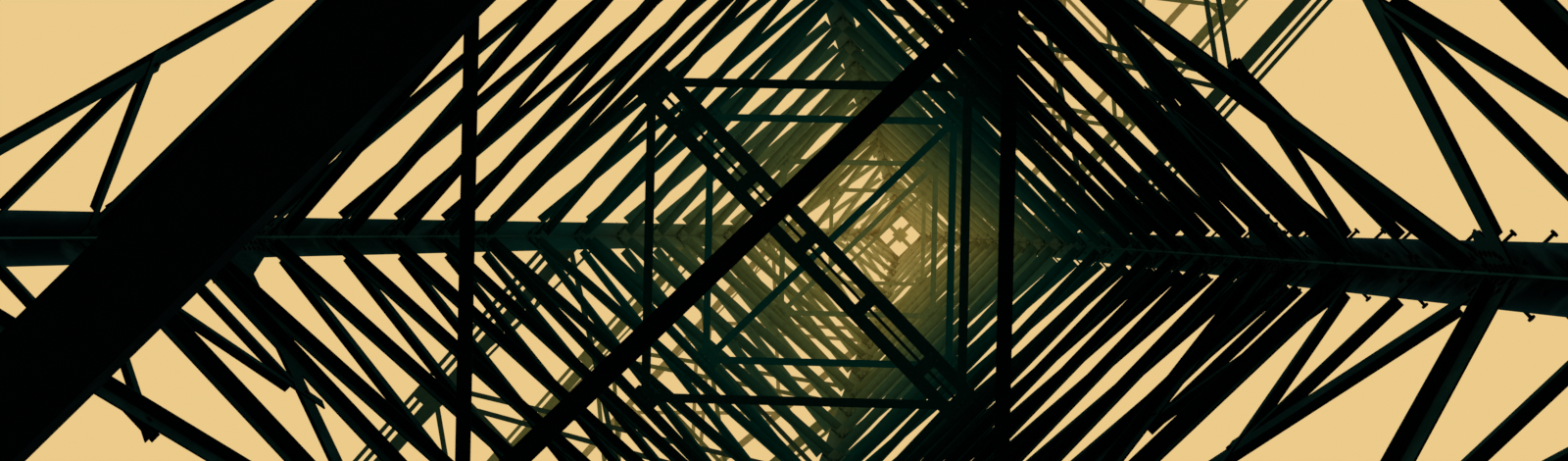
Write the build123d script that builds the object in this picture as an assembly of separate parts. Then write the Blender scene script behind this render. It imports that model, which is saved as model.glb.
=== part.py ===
from build123d import *
import os
from math import hypot, sqrt

# Lattice transmission pylon, a half-size model of a tower about 56 m tall. Millimetres, +Z up.
# The origin is on the ground at the centre of the four legs, and the crossarms run along X.

# The body: four legs that lean in evenly, so each face is a tall trapezium.
BASE_SIDE = 4358.0
TOP_SIDE = 427.0
BODY_TOP = 27780.0
FIT = 0.2

# Heights of the plan frames and the knee of the lower bracing, and the joint in the legs below the belt.
TIE_LEVEL = 3430.0
KNEE_LEVEL = 7700.0
KNEE_SPREAD = 200.0
BELT_LEVEL = 10175.0
DOUBLE_TIE_LEVEL = 13910.0
LOW_ARM_LEVEL = 15860.0
MID_ARM_LEVEL = 19250.0
TOP_ARM_LEVEL = 22410.0
LEG_JOINT_DROP = 45.0

# Leg angles: flange width and thickness, from the foot upwards.
LOWER_FLANGE = 125.0
MIDDLE_FLANGE = 112.0
TOP_FLANGE = 85.0
LEG_THICK = 12.0

# Footings and base plates, centred a little inside the heels of the legs.
FOOT_CENTRE = 52.0
FOOTING_SIDE = 620.0
FOOTING_TOP_SIDE = 480.0
FOOTING_HEIGHT = 260.0
FOOTING_KERB_HEIGHT = 90.0
BASE_PLATE_SIDE = 340.0
BASE_PLATE_THICK = 20.0
FOOT_RIB_HEIGHT = 170.0
FOOT_RIB_REACH = 105.0
FOOT_RIB_TOE = 25.0
FOOT_RIB_THICK = 10.0
FOOT_RIB_NEAR = 38.0
FOOT_RIB_FAR = 100.0

# Face bracing: every bar is an angle, its wide flange against the inside of the legs.
BRACE_THICK = 6.0
CORNER_CLEAR = 26.0
GUSSET_CLEAR = 40.0
GAUGE = 70.0
RIB_HEIGHT = 42.0
RIB_CLEAR = 3.0
BASE_DIAGONAL_WIDTH = 80.0
BASE_DIAGONAL_SPREAD = 60.0
KNEE_DIAGONAL_WIDTH = 74.0
REDUNDANT_WIDTH = 30.0
REDUNDANT_END = 20.0
CROSSING_RAIL_WIDTH = 50.0
BELT_RAIL_WIDTH = 80.0
RAIL_WIDTH = 46.0
BELT_JOINT_RISE = 425.0
BELT_GUSSET_RISE = 640.0
BELT_GUSSET_REACH = 230.0
TIE_GUSSET_RISE = 150.0
TIE_GUSSET_REACH = 150.0
KNEE_GUSSET_REACH = 120.0
LAP = 0.15
ROW_START = 20.0
ROW_END = 50.0
MIDDLE_BAR_WIDTH = 58.0
DOUBLE_TIE_BAR_WIDTH = 48.0
UPPER_BAR_WIDTH = 42.0
ARM_ZONE_BAR_WIDTH = 34.0
TOP_BAR_WIDTH = 27.0
BELT_PANELS = 5
DOUBLE_TIE_PANELS = 2
ARM_ZONE_PANELS = 4
TOP_PANELS = 6

# Plan frames: the width of the bars and of the tie at each level.
FRAME_THICK = 8.0
FRAME_RIB = 44.0
CORNER_PLATE_HALF = 70.0
CORNER_PLATE_SHOULDER = 64.0
CORNER_PLATE_NOSE = 110.0
LOWER_TIE_WIDTH = 104.0
BELT_FRAME_WIDTH = 56.0
BELT_TIE_WIDTH = 82.0
DOUBLE_TIE_FRAME_WIDTH = 46.0
DOUBLE_TIE_WIDTH = 66.0
DOUBLE_TIE_SPACING = 136.0
DOUBLE_TIE_CENTRE_WIDTH = 16.0
DOUBLE_TIE_RIB_SETBACK = 80.0
BATTEN_LENGTH = 70.0
BATTEN_PITCH = 430.0
LOW_FRAME_WIDTH = 42.0
LOW_TIE_WIDTH = 42.0
MID_FRAME_WIDTH = 38.0
MID_TIE_WIDTH = 36.0
TOP_FRAME_WIDTH = 32.0
TOP_TIE_WIDTH = 28.0

# Crossarms: how far each reaches from the axis, and the width of its chords.
LOW_ARM_REACH = 3500.0
MID_ARM_REACH = 4050.0
TOP_ARM_REACH = 3500.0
LOW_ARM_CHORD = 76.0
MID_ARM_CHORD = 66.0
TOP_ARM_CHORD = 56.0
LOW_ARM_STRIPS = 2
MID_ARM_STRIPS = 1
TOP_ARM_STRIPS = 0
ARM_THICK = 7.0
ARM_TAPER = 0.0787
ARM_DEPTH = 820.0
ARM_TIP_DEPTH = 110.0
ARM_OVERLAP = 90.0
ARM_TOP_CHORD_WIDTH = 52.0
ARM_POST_WIDTH = 36.0
ARM_LACING_WIDTH = 30.0
ARM_PANEL = 1100.0
LACING_SETBACK = 60.0
STRIP_GAP = 22.0
STRIP_WIDTH = 24.0
STRIP_SETBACK = 110.0
STRIP_BATTEN = 100.0
END_PLATE_LENGTH = 150.0
END_PLATE_WIDTH = 90.0
END_PLATE_THICK = 20.0
END_PLATE_INSET = 8.0
HOLE_RADIUS = 9.0

# Earth-wire peak.
CAP_THICK = 10.0
CAP_OVERHANG = 20.0
PEAK_HEIGHT = 340.0
PEAK_SEAT_SIDE = 120.0
PEAK_WEB_THICK = 10.0
PEAK_WEB_INSET = 45.0
PEAK_RIM_WIDTH = 75.0
PEAK_STRIP_WIDTH = 40.0

SIDES = ("south", "east", "north", "west")
CORNERS = ("southwest", "southeast", "northeast", "northwest")
BATTER = (BASE_SIDE - TOP_SIDE) / (2 * BODY_TOP)
SLOPE = sqrt(1 + BATTER**2)
BRACE_DEPTH = LEG_THICK + FIT + BRACE_THICK * SLOPE
LEG_JOINT = BELT_LEVEL - LEG_JOINT_DROP
INNER_RIB_END = BRACE_DEPTH + (BRACE_THICK + RIB_HEIGHT) * SLOPE + RIB_CLEAR
BASE_PLATE_TOP = FOOTING_HEIGHT + FIT + BASE_PLATE_THICK


def half(z):
    """Half the body's side at height z."""
    return BASE_SIDE / 2 - BATTER * z


def save(shape, node):
    """Write one named piece to parts."""
    os.makedirs("parts", exist_ok=True)
    export_step(shape, "parts/" + node + ".step")


def polygon(points):
    """A flat face with these corners."""
    return make_face(Polyline(*points, close=True))


def fused(shapes):
    """All the shapes as one."""
    return shapes[0] + shapes[1:] if len(shapes) > 1 else shapes[0]


def lerp(a, b, share):
    """The point at a share of the way from a to b."""
    return tuple(p + share * (q - p) for p, q in zip(a, b))


def distance(a, b):
    """The distance between two points of a drawing."""
    return hypot(b[0] - a[0], b[1] - a[1])


def strip(start, end, width, before=0.0, after=0.0, shift=0.0):
    """A straight flat bar from start to end, lengthened at both ends and moved sideways by shift."""
    length = distance(start, end)
    along = ((end[0] - start[0]) / length, (end[1] - start[1]) / length)
    across = (-along[1], along[0])
    right = shift - width / 2
    left = shift + width / 2
    return polygon([
        (start[0] + s * along[0] + t * across[0], start[1] + s * along[1] + t * across[1])
        for s, t in ((-before, right), (length + after, right), (length + after, left), (-before, left))
    ])


def leg_point(side, z, depth=GAUGE):
    """The point of a face at height z that lies depth inside the left (-1) or right (+1) heel."""
    return (side * (half(z) - depth), z * SLOPE)


def direction(start, end):
    """How level and how steep a bar is, as shares of its length."""
    length = distance(start, end)
    return abs(end[0] - start[0]) / length, abs(end[1] - start[1]) / length


def overrun(start, end, width):
    """How far a bar runs past its node on a leg before its corner comes to the clearance line."""
    level, rise = direction(start, end)
    return (GAUGE - CORNER_CLEAR - width / 2 * rise) / level


def rib_trims(start, end, width, depth):
    """How much of a standing flange is left off at its low and its high end to keep a depth from the heels."""
    level, rise = direction(start, end)
    lean = BATTER / SLOPE
    low = depth - GAUGE + width / 2 * (rise + lean * level)
    high = depth - GAUGE - (width / 2 - BRACE_THICK) * (rise - lean * level)
    return low / (level - lean * rise), high / (level + lean * rise)


def rib(start, end, width, base, height, trims):
    """The standing flange of a bar, along its upper edge, from one side of the bar's flat."""
    edge = 1 if end[0] > start[0] else -1
    foot = strip(start, end, BRACE_THICK, -trims[0], -trims[1], edge * (width - BRACE_THICK) / 2)
    return Pos(0, 0, base) * extrude(foot, height)


def cross_bars(z_low, z_high, width, leg_flange):
    """One X. The bar from the left leg lies on the legs and its flange stands out of the face.

    The bar from the right leg lies over it, and its flange stands into the tower. A leg flange of
    nothing leaves both bars flat.
    """
    left_start, left_end = leg_point(-1, z_low), leg_point(1, z_high)
    right_start, right_end = leg_point(1, z_low), leg_point(-1, z_high)
    run = overrun(left_start, left_end, width)
    flats = [strip(left_start, left_end, width, run, run)]
    over = strip(right_start, right_end, width, run, run)
    solids = [Pos(0, 0, -BRACE_THICK) * extrude(over, -BRACE_THICK)]
    if leg_flange:
        outer = rib_trims(left_start, left_end, width, leg_flange + RIB_CLEAR)
        inner = rib_trims(right_start, right_end, width, INNER_RIB_END)
        solids.append(rib(left_start, left_end, width, 0, RIB_HEIGHT, outer))
        solids.append(rib(right_start, right_end, width, -2 * BRACE_THICK, -RIB_HEIGHT, inner))
    return flats, solids


def panel_heights(z_low, z_high, count):
    """Heights that divide a stretch of the body into panels of one shape."""
    ratio = half(z_high) / half(z_low)
    return [(BASE_SIDE / 2 - half(z_low) * ratio ** (i / count)) / BATTER for i in range(count + 1)]


def rail(z, width, ribbed=True):
    """A level bar from leg to leg, its upper edge at height z, and its standing flange inside."""
    drop = width / 2 + FIT
    start, end = (
        (point[0], point[1] - drop) for point in (leg_point(-1, z), leg_point(1, z))
    )
    run = GAUGE - CORNER_CLEAR - BATTER * width
    flats = [strip(start, end, width, run, run)]
    if not ribbed:
        return flats, []
    trim = INNER_RIB_END - GAUGE
    return flats, [rib(start, end, width, -BRACE_THICK, -RIB_HEIGHT, (trim, trim))]


def leg_gussets(z, width, rise, reach):
    """Two plates over the ends of a rail, running up the legs."""
    plates = []
    for side in (-1, 1):
        foot = leg_point(side, z - width / 2, GUSSET_CLEAR)
        head = leg_point(side, z + rise, GUSSET_CLEAR)
        inner = head[0] - side * reach
        plates.append(polygon([
            foot,
            head,
            (head[0] - side * reach / 3, head[1]),
            (inner, foot[1] + width),
            (inner, foot[1]),
        ]))
    return plates


def crossing(z_low, z_high):
    """The height at which the two bars of a plain X cross."""
    return z_low + (z_high - z_low) * half(z_low) / (half(z_low) + half(z_high))


def k_braces(z_low, z_high, width):
    """A tall X with a rail through its crossing and short bars that hold the legs."""
    middle = crossing(z_low, z_high)
    flats, solids = cross_bars(z_low, z_high, width, LOWER_FLANGE)
    flats += rail(middle + CROSSING_RAIL_WIDTH / 2, CROSSING_RAIL_WIDTH, False)[0]
    for side in (-1, 1):
        for z_end in (z_low, z_high):
            joint = lerp(leg_point(side, z_end), (0, middle * SLOPE), 1 / 2)
            for z_leg in (joint[1] / SLOPE, middle):
                flats.append(strip(joint, leg_point(side, z_leg), REDUNDANT_WIDTH, 0, REDUNDANT_END))
    return flats, solids


def row_of_panels(z_low, z_high, count, width, lap_share=0.0, leg_flange=0.0):
    """A row of X panels, whose bars may lap past each other a little at the legs."""
    heights = panel_heights(z_low, z_high, count)
    flats = []
    solids = []
    for i in range(count):
        lap = lap_share * (heights[i + 1] - heights[i]) / 2
        low = heights[i] - (lap if i else 0)
        high = heights[i + 1] + (lap if i < count - 1 else 0)
        bars = cross_bars(low, high, width, leg_flange)
        flats += bars[0]
        solids += bars[1]
    return flats, solids


def below_rail(z):
    """The height at which a row of panels ends under the next section's rail."""
    return z - RAIL_WIDTH - ROW_END


def plated(rows):
    """Rows of flat bars fused to one plate inside the face plane, with the solids that stand on it."""
    flats = [flat for row in rows for flat in row[0]]
    solids = [solid for row in rows for solid in row[1]]
    return fused([extrude(fused(flats), -BRACE_THICK)] + solids)


def on_face(shape, index):
    """Put a face drawn upright in X and Y on the inside of the legs, on side number index."""
    plane = Plane(origin=(0, -BASE_SIDE / 2 + LEG_THICK + FIT, 0), x_dir=(1, 0, 0), z_dir=(0, -1, BATTER))
    return Rot(0, 0, 90 * index) * (plane * shape)


def base_half(side):
    """One half of the open bottom panel: the raking bar from the foot to mid-face and its short bars."""
    foot_z = BASE_PLATE_TOP + FOOT_RIB_HEIGHT + GAUGE
    foot = leg_point(side, foot_z)
    head_z = TIE_LEVEL - BELT_RAIL_WIDTH - BASE_DIAGONAL_WIDTH / 2
    head = (side * BASE_DIAGONAL_SPREAD, head_z * SLOPE)
    run = overrun(foot, head, BASE_DIAGONAL_WIDTH)
    trims = (rib_trims(foot, head, BASE_DIAGONAL_WIDTH, INNER_RIB_END)[0], BASE_DIAGONAL_SPREAD)
    flats = [strip(foot, head, BASE_DIAGONAL_WIDTH, run, 0)]
    flange = rib(foot, head, BASE_DIAGONAL_WIDTH, -BRACE_THICK, -RIB_HEIGHT, trims)
    for share, leg_share in ((1 / 3, 1 / 3), (1 / 3, 2 / 3), (2 / 3, 2 / 3)):
        joint = lerp(foot, head, share)
        anchor = leg_point(side, foot_z + leg_share * (TIE_LEVEL - foot_z))
        flats.append(strip(joint, anchor, REDUNDANT_WIDTH, 0, REDUNDANT_END))
    corner = leg_point(side, TIE_LEVEL - BELT_RAIL_WIDTH - 2 * REDUNDANT_WIDTH)
    flats.append(strip(lerp(foot, head, 2 / 3), corner, REDUNDANT_WIDTH))
    return plated([(flats, [flange])])


def lower_face():
    """From the first tie to the double tie: two tall K-braced panels, the belt and flat X panels.

    The upper K panel's bars end on the gussets above the belt rail, across the feet of the first X.
    """
    tie_gussets = leg_gussets(TIE_LEVEL, BELT_RAIL_WIDTH, TIE_GUSSET_RISE, TIE_GUSSET_REACH)
    belt_gussets = leg_gussets(BELT_LEVEL, BELT_RAIL_WIDTH, BELT_GUSSET_RISE, BELT_GUSSET_REACH)
    knee_gussets = leg_gussets(KNEE_LEVEL, KNEE_DIAGONAL_WIDTH, KNEE_SPREAD, KNEE_GUSSET_REACH)
    row = (BELT_LEVEL + ROW_START, below_rail(DOUBLE_TIE_LEVEL), BELT_PANELS, MIDDLE_BAR_WIDTH)
    return plated([
        rail(TIE_LEVEL, BELT_RAIL_WIDTH),
        (tie_gussets, []),
        k_braces(TIE_LEVEL, KNEE_LEVEL, KNEE_DIAGONAL_WIDTH),
        (knee_gussets, []),
        k_braces(KNEE_LEVEL + KNEE_SPREAD, BELT_LEVEL + BELT_JOINT_RISE, KNEE_DIAGONAL_WIDTH),
        rail(BELT_LEVEL, BELT_RAIL_WIDTH),
        (belt_gussets, []),
        row_of_panels(*row, LAP, MIDDLE_FLANGE),
    ])


def middle_face():
    """From the double tie to the lowest crossarm."""
    row = (DOUBLE_TIE_LEVEL, below_rail(LOW_ARM_LEVEL), DOUBLE_TIE_PANELS, DOUBLE_TIE_BAR_WIDTH)
    return plated([rail(DOUBLE_TIE_LEVEL, RAIL_WIDTH), row_of_panels(*row, LAP, MIDDLE_FLANGE)])


def upper_face():
    """Between the lowest and the highest crossarm."""
    return plated([
        rail(LOW_ARM_LEVEL, RAIL_WIDTH),
        row_of_panels(LOW_ARM_LEVEL + ROW_START, MID_ARM_LEVEL, ARM_ZONE_PANELS, UPPER_BAR_WIDTH),
        rail(MID_ARM_LEVEL, RAIL_WIDTH),
        row_of_panels(MID_ARM_LEVEL, below_rail(TOP_ARM_LEVEL), ARM_ZONE_PANELS, ARM_ZONE_BAR_WIDTH),
    ])


def top_face():
    """Above the highest crossarm. The last bars run on over the top rail and are cut off level with it."""
    face = plated([
        rail(TOP_ARM_LEVEL, RAIL_WIDTH),
        row_of_panels(TOP_ARM_LEVEL + ROW_START, BODY_TOP - RAIL_WIDTH / 2, TOP_PANELS, TOP_BAR_WIDTH),
        rail(BODY_TOP - FIT, RAIL_WIDTH, False),
    ])
    ceiling = Plane(origin=(0, (BODY_TOP - FIT) * SLOPE - FIT, 0), z_dir=(0, -1, 0))
    return split(face, bisect_by=ceiling, keep=Keep.TOP)


def leg_length(z_low, z_high, flange):
    """A stretch of the southwest leg, an angle sheared so that both flanges lie in the leaning faces."""
    lean = Vector(BATTER, BATTER, 1)
    outline = [(0, 0), (flange, 0), (flange, LEG_THICK), (LEG_THICK, LEG_THICK), (LEG_THICK, flange), (0, flange)]
    profile = Pos(-half(z_low), -half(z_low), z_low) * polygon(outline)
    return extrude(profile, (z_high - z_low) * lean.length, dir=lean)


def base_plate():
    """The foot of the southwest leg: its base plate and two stiffening ribs on each flange."""
    heel = -half(BASE_PLATE_TOP)
    seat = heel + LEG_THICK / 2
    centre = heel + FOOT_CENTRE
    plate = Box(BASE_PLATE_SIDE, BASE_PLATE_SIDE, BASE_PLATE_THICK)
    pieces = [Pos(centre, centre, BASE_PLATE_TOP - BASE_PLATE_THICK / 2) * plate]
    outline = polygon([(0, 0), (-FOOT_RIB_REACH, 0), (-FOOT_RIB_REACH, FOOT_RIB_TOE), (0, FOOT_RIB_HEIGHT)])
    web = extrude(outline, FOOT_RIB_THICK / 2, both=True)
    for offset in (FOOT_RIB_NEAR, FOOT_RIB_FAR):
        place = heel + offset
        pieces.append(Plane(origin=(place, seat, BASE_PLATE_TOP), x_dir=(0, 1, 0), z_dir=(1, 0, 0)) * web)
        pieces.append(Plane(origin=(seat, place, BASE_PLATE_TOP), x_dir=(1, 0, 0), z_dir=(0, -1, 0)) * web)
    return pieces


def lower_leg():
    """The southwest leg from its base plate to the joint."""
    return fused([leg_length(BASE_PLATE_TOP, LEG_JOINT, LOWER_FLANGE)] + base_plate())


def upper_leg():
    """The southwest leg above the joint, with the lighter angle over the highest crossarm."""
    change = TOP_ARM_LEVEL + ARM_DEPTH
    return fused([
        leg_length(LEG_JOINT + FIT, change, MIDDLE_FLANGE),
        leg_length(change, BODY_TOP, TOP_FLANGE),
    ])


def footing():
    """The concrete cap under the southwest leg, with its top drawn in to shed water."""
    centre = -half(BASE_PLATE_TOP) + FOOT_CENTRE
    kerb = Pos(0, 0, FOOTING_KERB_HEIGHT / 2) * Box(FOOTING_SIDE, FOOTING_SIDE, FOOTING_KERB_HEIGHT)
    low = Plane.XY.offset(FOOTING_KERB_HEIGHT) * Rectangle(FOOTING_SIDE, FOOTING_SIDE)
    high = Plane.XY.offset(FOOTING_HEIGHT) * Rectangle(FOOTING_TOP_SIDE, FOOTING_TOP_SIDE)
    return Pos(centre, centre, 0) * (kerb + loft([low, high]))


def frame_reach(level):
    """How far from the axis a plan frame reaches on each face."""
    return half(level + FRAME_THICK) - BRACE_DEPTH - FIT


def frame_rib(start, end, shift, setback):
    """The upright flange of a plan bar."""
    foot = strip(start, end, FRAME_THICK, -setback, -setback, shift)
    return Pos(0, 0, FRAME_THICK) * extrude(foot, FRAME_RIB)


def tie(reach, width):
    """A straight bar across the tower along X, and its upright flange."""
    ends = ((-reach, 0), (reach, 0))
    return [strip(*ends, width)], [frame_rib(*ends, (width - FRAME_THICK) / 2, FRAME_RIB)]


def double_tie(reach):
    """Two bars side by side along Y, the battens between them and a thin bar down the middle."""
    offset = DOUBLE_TIE_SPACING / 2
    flats = [strip((0, -reach), (0, reach), DOUBLE_TIE_CENTRE_WIDTH)]
    flanges = []
    for side in (-1, 1):
        ends = ((side * offset, -reach), (side * offset, reach))
        shift = -side * (DOUBLE_TIE_WIDTH - FRAME_THICK) / 2
        flats.append(strip(*ends, DOUBLE_TIE_WIDTH))
        flanges.append(frame_rib(*ends, shift, DOUBLE_TIE_RIB_SETBACK))
    count = int(reach / BATTEN_PITCH)
    for i in range(-count, count + 1):
        y = i * BATTEN_PITCH
        flats.append(strip((-offset, y), (offset, y), BATTEN_LENGTH))
    return flats, flanges


def diamond(reach, width):
    """Four bars that join the middles of the faces, and a plate at each corner."""
    corner = reach - width
    points = [(corner, 0), (0, corner), (-corner, 0), (0, -corner)]
    plate = polygon([
        (reach, -CORNER_PLATE_HALF),
        (reach, CORNER_PLATE_HALF),
        (reach - CORNER_PLATE_SHOULDER, CORNER_PLATE_HALF),
        (reach - CORNER_PLATE_NOSE, 0),
        (reach - CORNER_PLATE_SHOULDER, -CORNER_PLATE_HALF),
    ])
    flats = []
    flanges = []
    for i in range(4):
        ends = (points[i], points[(i + 1) % 4])
        flats += [strip(*ends, width), Rot(0, 0, 90 * i) * plate]
        flanges.append(frame_rib(*ends, (FRAME_THICK - width) / 2, FRAME_RIB))
    return flats, flanges


def plan_frame(level, rows):
    """Flat bars fused to one plate at a level, with their upright flanges on it."""
    flats = [flat for row in rows for flat in row[0]]
    flanges = [flange for row in rows for flange in row[1]]
    return Pos(0, 0, level) * fused([extrude(fused(flats), FRAME_THICK)] + flanges)


def arm_plan(level, reach):
    """The root and tip of an arm's north chord, in plan."""
    root = (half(level - ARM_THICK) + FIT, half(level) + FIT)
    tip = (reach, root[1] - ARM_TAPER * (reach - root[0]))
    return root, tip


def arm_strips(start, end, side, count, panels):
    """The thin bars beside a chord and the battens that tie them to it."""
    length = distance(start, end)
    first = lerp(start, end, STRIP_SETBACK / length)
    pitch = STRIP_GAP + STRIP_WIDTH
    reach = ARM_THICK + count * pitch
    flats = []
    for i in range(count):
        shift = side * (ARM_THICK + STRIP_GAP + STRIP_WIDTH / 2 + i * pitch)
        flats.append(strip(first, end, STRIP_WIDTH, 0, 0, shift))
    last = lerp(end, start, STRIP_BATTEN / length)
    for i in range(panels + 1):
        joint = lerp(first, last, i / panels)
        ahead = lerp(joint, end, STRIP_BATTEN / distance(joint, end))
        flats.append(strip(joint, ahead, reach, 0, 0, side * reach / 2))
    return flats


def arm_floor(level, reach, width, panels, strips):
    """The flat underside of an arm: chords, cross lacing, end beam and the drilled end plates."""
    root, tip = arm_plan(level, reach)
    middle = width / 2 - ARM_THICK
    lacing_root = lerp(root, tip, LACING_SETBACK / distance(root, tip))
    flats = [strip((reach - width / 2, -tip[1]), (reach - width / 2, tip[1]), width)]
    for side in (-1, 1):
        start = (root[0], side * root[1])
        end = (tip[0], side * tip[1])
        flats.append(strip(start, end, width, -width * ARM_TAPER, 0, -side * middle))
        if strips:
            flats += arm_strips(start, end, side, strips, panels)
        for i in range(panels):
            near = lerp(lacing_root, tip, i / panels)
            far = lerp(lacing_root, tip, (i + 1) / panels)
            near_end = (near[0], side * (near[1] - middle))
            far_end = (far[0], -side * (far[1] - middle))
            flats.append(strip(near_end, far_end, ARM_LACING_WIDTH))
    floor = Pos(0, 0, level - ARM_THICK) * extrude(fused(flats), ARM_THICK)
    return with_end_plates(floor, level, reach, tip[1] - width / 2)


def with_end_plates(floor, level, reach, offset):
    """Add the drilled plates under an arm's two outer corners, where a line's fittings are bolted on."""
    plates = []
    holes = []
    for side in (-1, 1):
        x = reach - END_PLATE_INSET - END_PLATE_LENGTH / 2
        centre = Pos(x, side * offset, level - END_PLATE_THICK / 2)
        plates.append(centre * Box(END_PLATE_LENGTH, END_PLATE_WIDTH, END_PLATE_THICK))
        holes.append(centre * Cylinder(HOLE_RADIUS, 2 * END_PLATE_THICK))
    return fused([floor] + plates) - holes


def side_plane(level, reach):
    """The leaning plane of an arm's north side, its length, and where its top chord meets the leg."""
    root, tip = arm_plan(level, reach)
    low = Vector(root[0], root[1], level)
    out = Vector(tip[0], tip[1], level)
    corner = half(level + ARM_DEPTH) + FIT
    high = Vector(corner, corner, level + ARM_DEPTH)
    along = (out - low).normalized()
    plane = Plane(origin=low, x_dir=along, z_dir=along.cross(high - low).normalized())
    return plane, (out - low).length, high


def arm_side(level, reach, width, panels):
    """The north side of an arm: its chords' upright flanges and the lacing between them."""
    plane, length, high = side_plane(level, reach)
    near = ((high - plane.origin).dot(plane.x_dir), (high - plane.origin).dot(plane.y_dir))
    far = (length, ARM_TIP_DEPTH)
    post = length - ARM_POST_WIDTH / 2
    middle = FIT + width / 2
    flats = [
        strip((0, middle), (length, middle), width, ARM_OVERLAP, 0),
        strip(near, far, ARM_TOP_CHORD_WIDTH, ARM_OVERLAP, 0, -ARM_TOP_CHORD_WIDTH / 2),
        strip((post, FIT), (post, ARM_TIP_DEPTH), ARM_POST_WIDTH),
    ]
    for i in range(panels):
        head = lerp(near, far, (i + 1 / 2) / panels)
        head = (head[0], head[1] - ARM_TOP_CHORD_WIDTH / 2)
        for foot_x in (length * i / panels, length * (i + 1) / panels):
            foot = (min(max(foot_x, width), post), middle)
            flats.append(strip(foot, head, ARM_LACING_WIDTH))
    return plane * extrude(fused(flats), -ARM_THICK)


def arm_roof(level, reach, panels):
    """The sloping top of an arm, between its sides: struts and zigzag lacing."""
    plane, length, high = side_plane(level, reach)
    low = plane.origin + plane.x_dir * length + plane.y_dir * ARM_TIP_DEPTH
    fall = Vector(low.X - high.X, 0, low.Z - high.Z)
    along = fall.normalized()
    roof = Plane(origin=(high.X, 0, high.Z), x_dir=along, z_dir=along.cross(Vector(0, 1, 0)))
    near = (0, high.Y - FIT)
    far = (fall.length, low.Y - FIT)
    first = LACING_SETBACK / fall.length
    last = 1 - ARM_POST_WIDTH / 2 / fall.length
    stations = [lerp(near, far, first + (last - first) * i / panels) for i in range(panels + 1)]
    flats = [strip((x, -y), (x, y), ARM_LACING_WIDTH, ARM_THICK, ARM_THICK) for x, y in stations]
    for i in range(panels):
        side = 1 if i % 2 else -1
        start = (stations[i][0], side * stations[i][1])
        end = (stations[i + 1][0], -side * stations[i + 1][1])
        flats.append(strip(start, end, ARM_LACING_WIDTH))
    outline = polygon([near, far, (far[0], -far[1]), (near[0], -near[1])])
    return roof * extrude(fused(flats) & outline, -ARM_THICK)


def crossarm(level, reach, width, strips):
    """A whole arm on the east side: its floor, its two sides and its roof."""
    panels = max(2, round((reach - half(level)) / ARM_PANEL))
    side = arm_side(level, reach, width, panels)
    pieces = [arm_floor(level, reach, width, panels, strips), side, mirror(side, about=Plane.XZ)]
    pieces.append(arm_roof(level, reach, panels))
    return Compound(children=pieces)


def peak():
    """The cap on the four legs: a plate with four windows, two crossed webs and the earth wire's seat."""
    side = half(BODY_TOP) + CAP_OVERHANG
    foot = side - PEAK_WEB_INSET
    head = PEAK_SEAT_SIDE / 2
    base = BODY_TOP + FIT + CAP_THICK
    window = side - PEAK_RIM_WIDTH - PEAK_STRIP_WIDTH / 2
    place = (PEAK_STRIP_WIDTH + window) / 2
    windows = [
        Pos(x, y, 0) * Box(window, window, 2 * CAP_THICK)
        for x in (-place, place)
        for y in (-place, place)
    ]
    cap = Pos(0, 0, base - CAP_THICK / 2) * (Box(2 * side, 2 * side, CAP_THICK) - windows)
    outline = polygon([(-foot, 0), (foot, 0), (head, PEAK_HEIGHT), (-head, PEAK_HEIGHT)])
    web = extrude(outline, PEAK_WEB_THICK / 2, both=True)
    upright = Plane(origin=(0, 0, base), x_dir=(1, 0, 0), z_dir=(0, -1, 0)) * web
    seat = Pos(0, 0, base + PEAK_HEIGHT + CAP_THICK / 2) * Box(PEAK_SEAT_SIDE, PEAK_SEAT_SIDE, CAP_THICK)
    return fused([cap, upright, Rot(0, 0, 90) * upright, seat])


FACES = (("lower", lower_face), ("middle", middle_face), ("upper", upper_face), ("top", top_face))
FRAMES = (
    ("belt", BELT_LEVEL, BELT_FRAME_WIDTH, BELT_TIE_WIDTH),
    ("low_arms", LOW_ARM_LEVEL, LOW_FRAME_WIDTH, LOW_TIE_WIDTH),
    ("mid_arms", MID_ARM_LEVEL, MID_FRAME_WIDTH, MID_TIE_WIDTH),
    ("top_arms", TOP_ARM_LEVEL, TOP_FRAME_WIDTH, TOP_TIE_WIDTH),
)
ARMS = (
    ("low", LOW_ARM_LEVEL, LOW_ARM_REACH, LOW_ARM_CHORD, LOW_ARM_STRIPS),
    ("mid", MID_ARM_LEVEL, MID_ARM_REACH, MID_ARM_CHORD, MID_ARM_STRIPS),
    ("top", TOP_ARM_LEVEL, TOP_ARM_REACH, TOP_ARM_CHORD, TOP_ARM_STRIPS),
)

base_halves = Compound(children=[base_half(-1), base_half(1)])
for index, name in enumerate(SIDES):
    save(on_face(base_halves, index), "face_" + name + "_base")
for part_name, build_face in FACES:
    face = build_face()
    for index, name in enumerate(SIDES):
        save(on_face(face, index), "face_" + name + "_" + part_name)

lower = lower_leg()
upper = upper_leg()
block = footing()
for index, name in enumerate(CORNERS):
    turn = Rot(0, 0, 90 * index)
    save(turn * lower, "leg_" + name + "_lower")
    save(turn * upper, "leg_" + name + "_upper")
    save(turn * block, "footing_" + name)

save(plan_frame(TIE_LEVEL, [tie(frame_reach(TIE_LEVEL), LOWER_TIE_WIDTH)]), "tie_lower")
for name, level, width, tie_width in FRAMES:
    span = frame_reach(level)
    save(plan_frame(level, [diamond(span, width), tie(span - width, tie_width)]), "frame_" + name)
span = frame_reach(DOUBLE_TIE_LEVEL)
rows = [diamond(span, DOUBLE_TIE_FRAME_WIDTH), double_tie(span)]
save(plan_frame(DOUBLE_TIE_LEVEL, rows), "frame_double_tie")

for name, level, reach, width, strips in ARMS:
    arm = crossarm(level, reach, width, strips)
    save(arm, "crossarm_east_" + name)
    save(Rot(0, 0, 180) * arm, "crossarm_west_" + name)
save(peak(), "peak")
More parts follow.
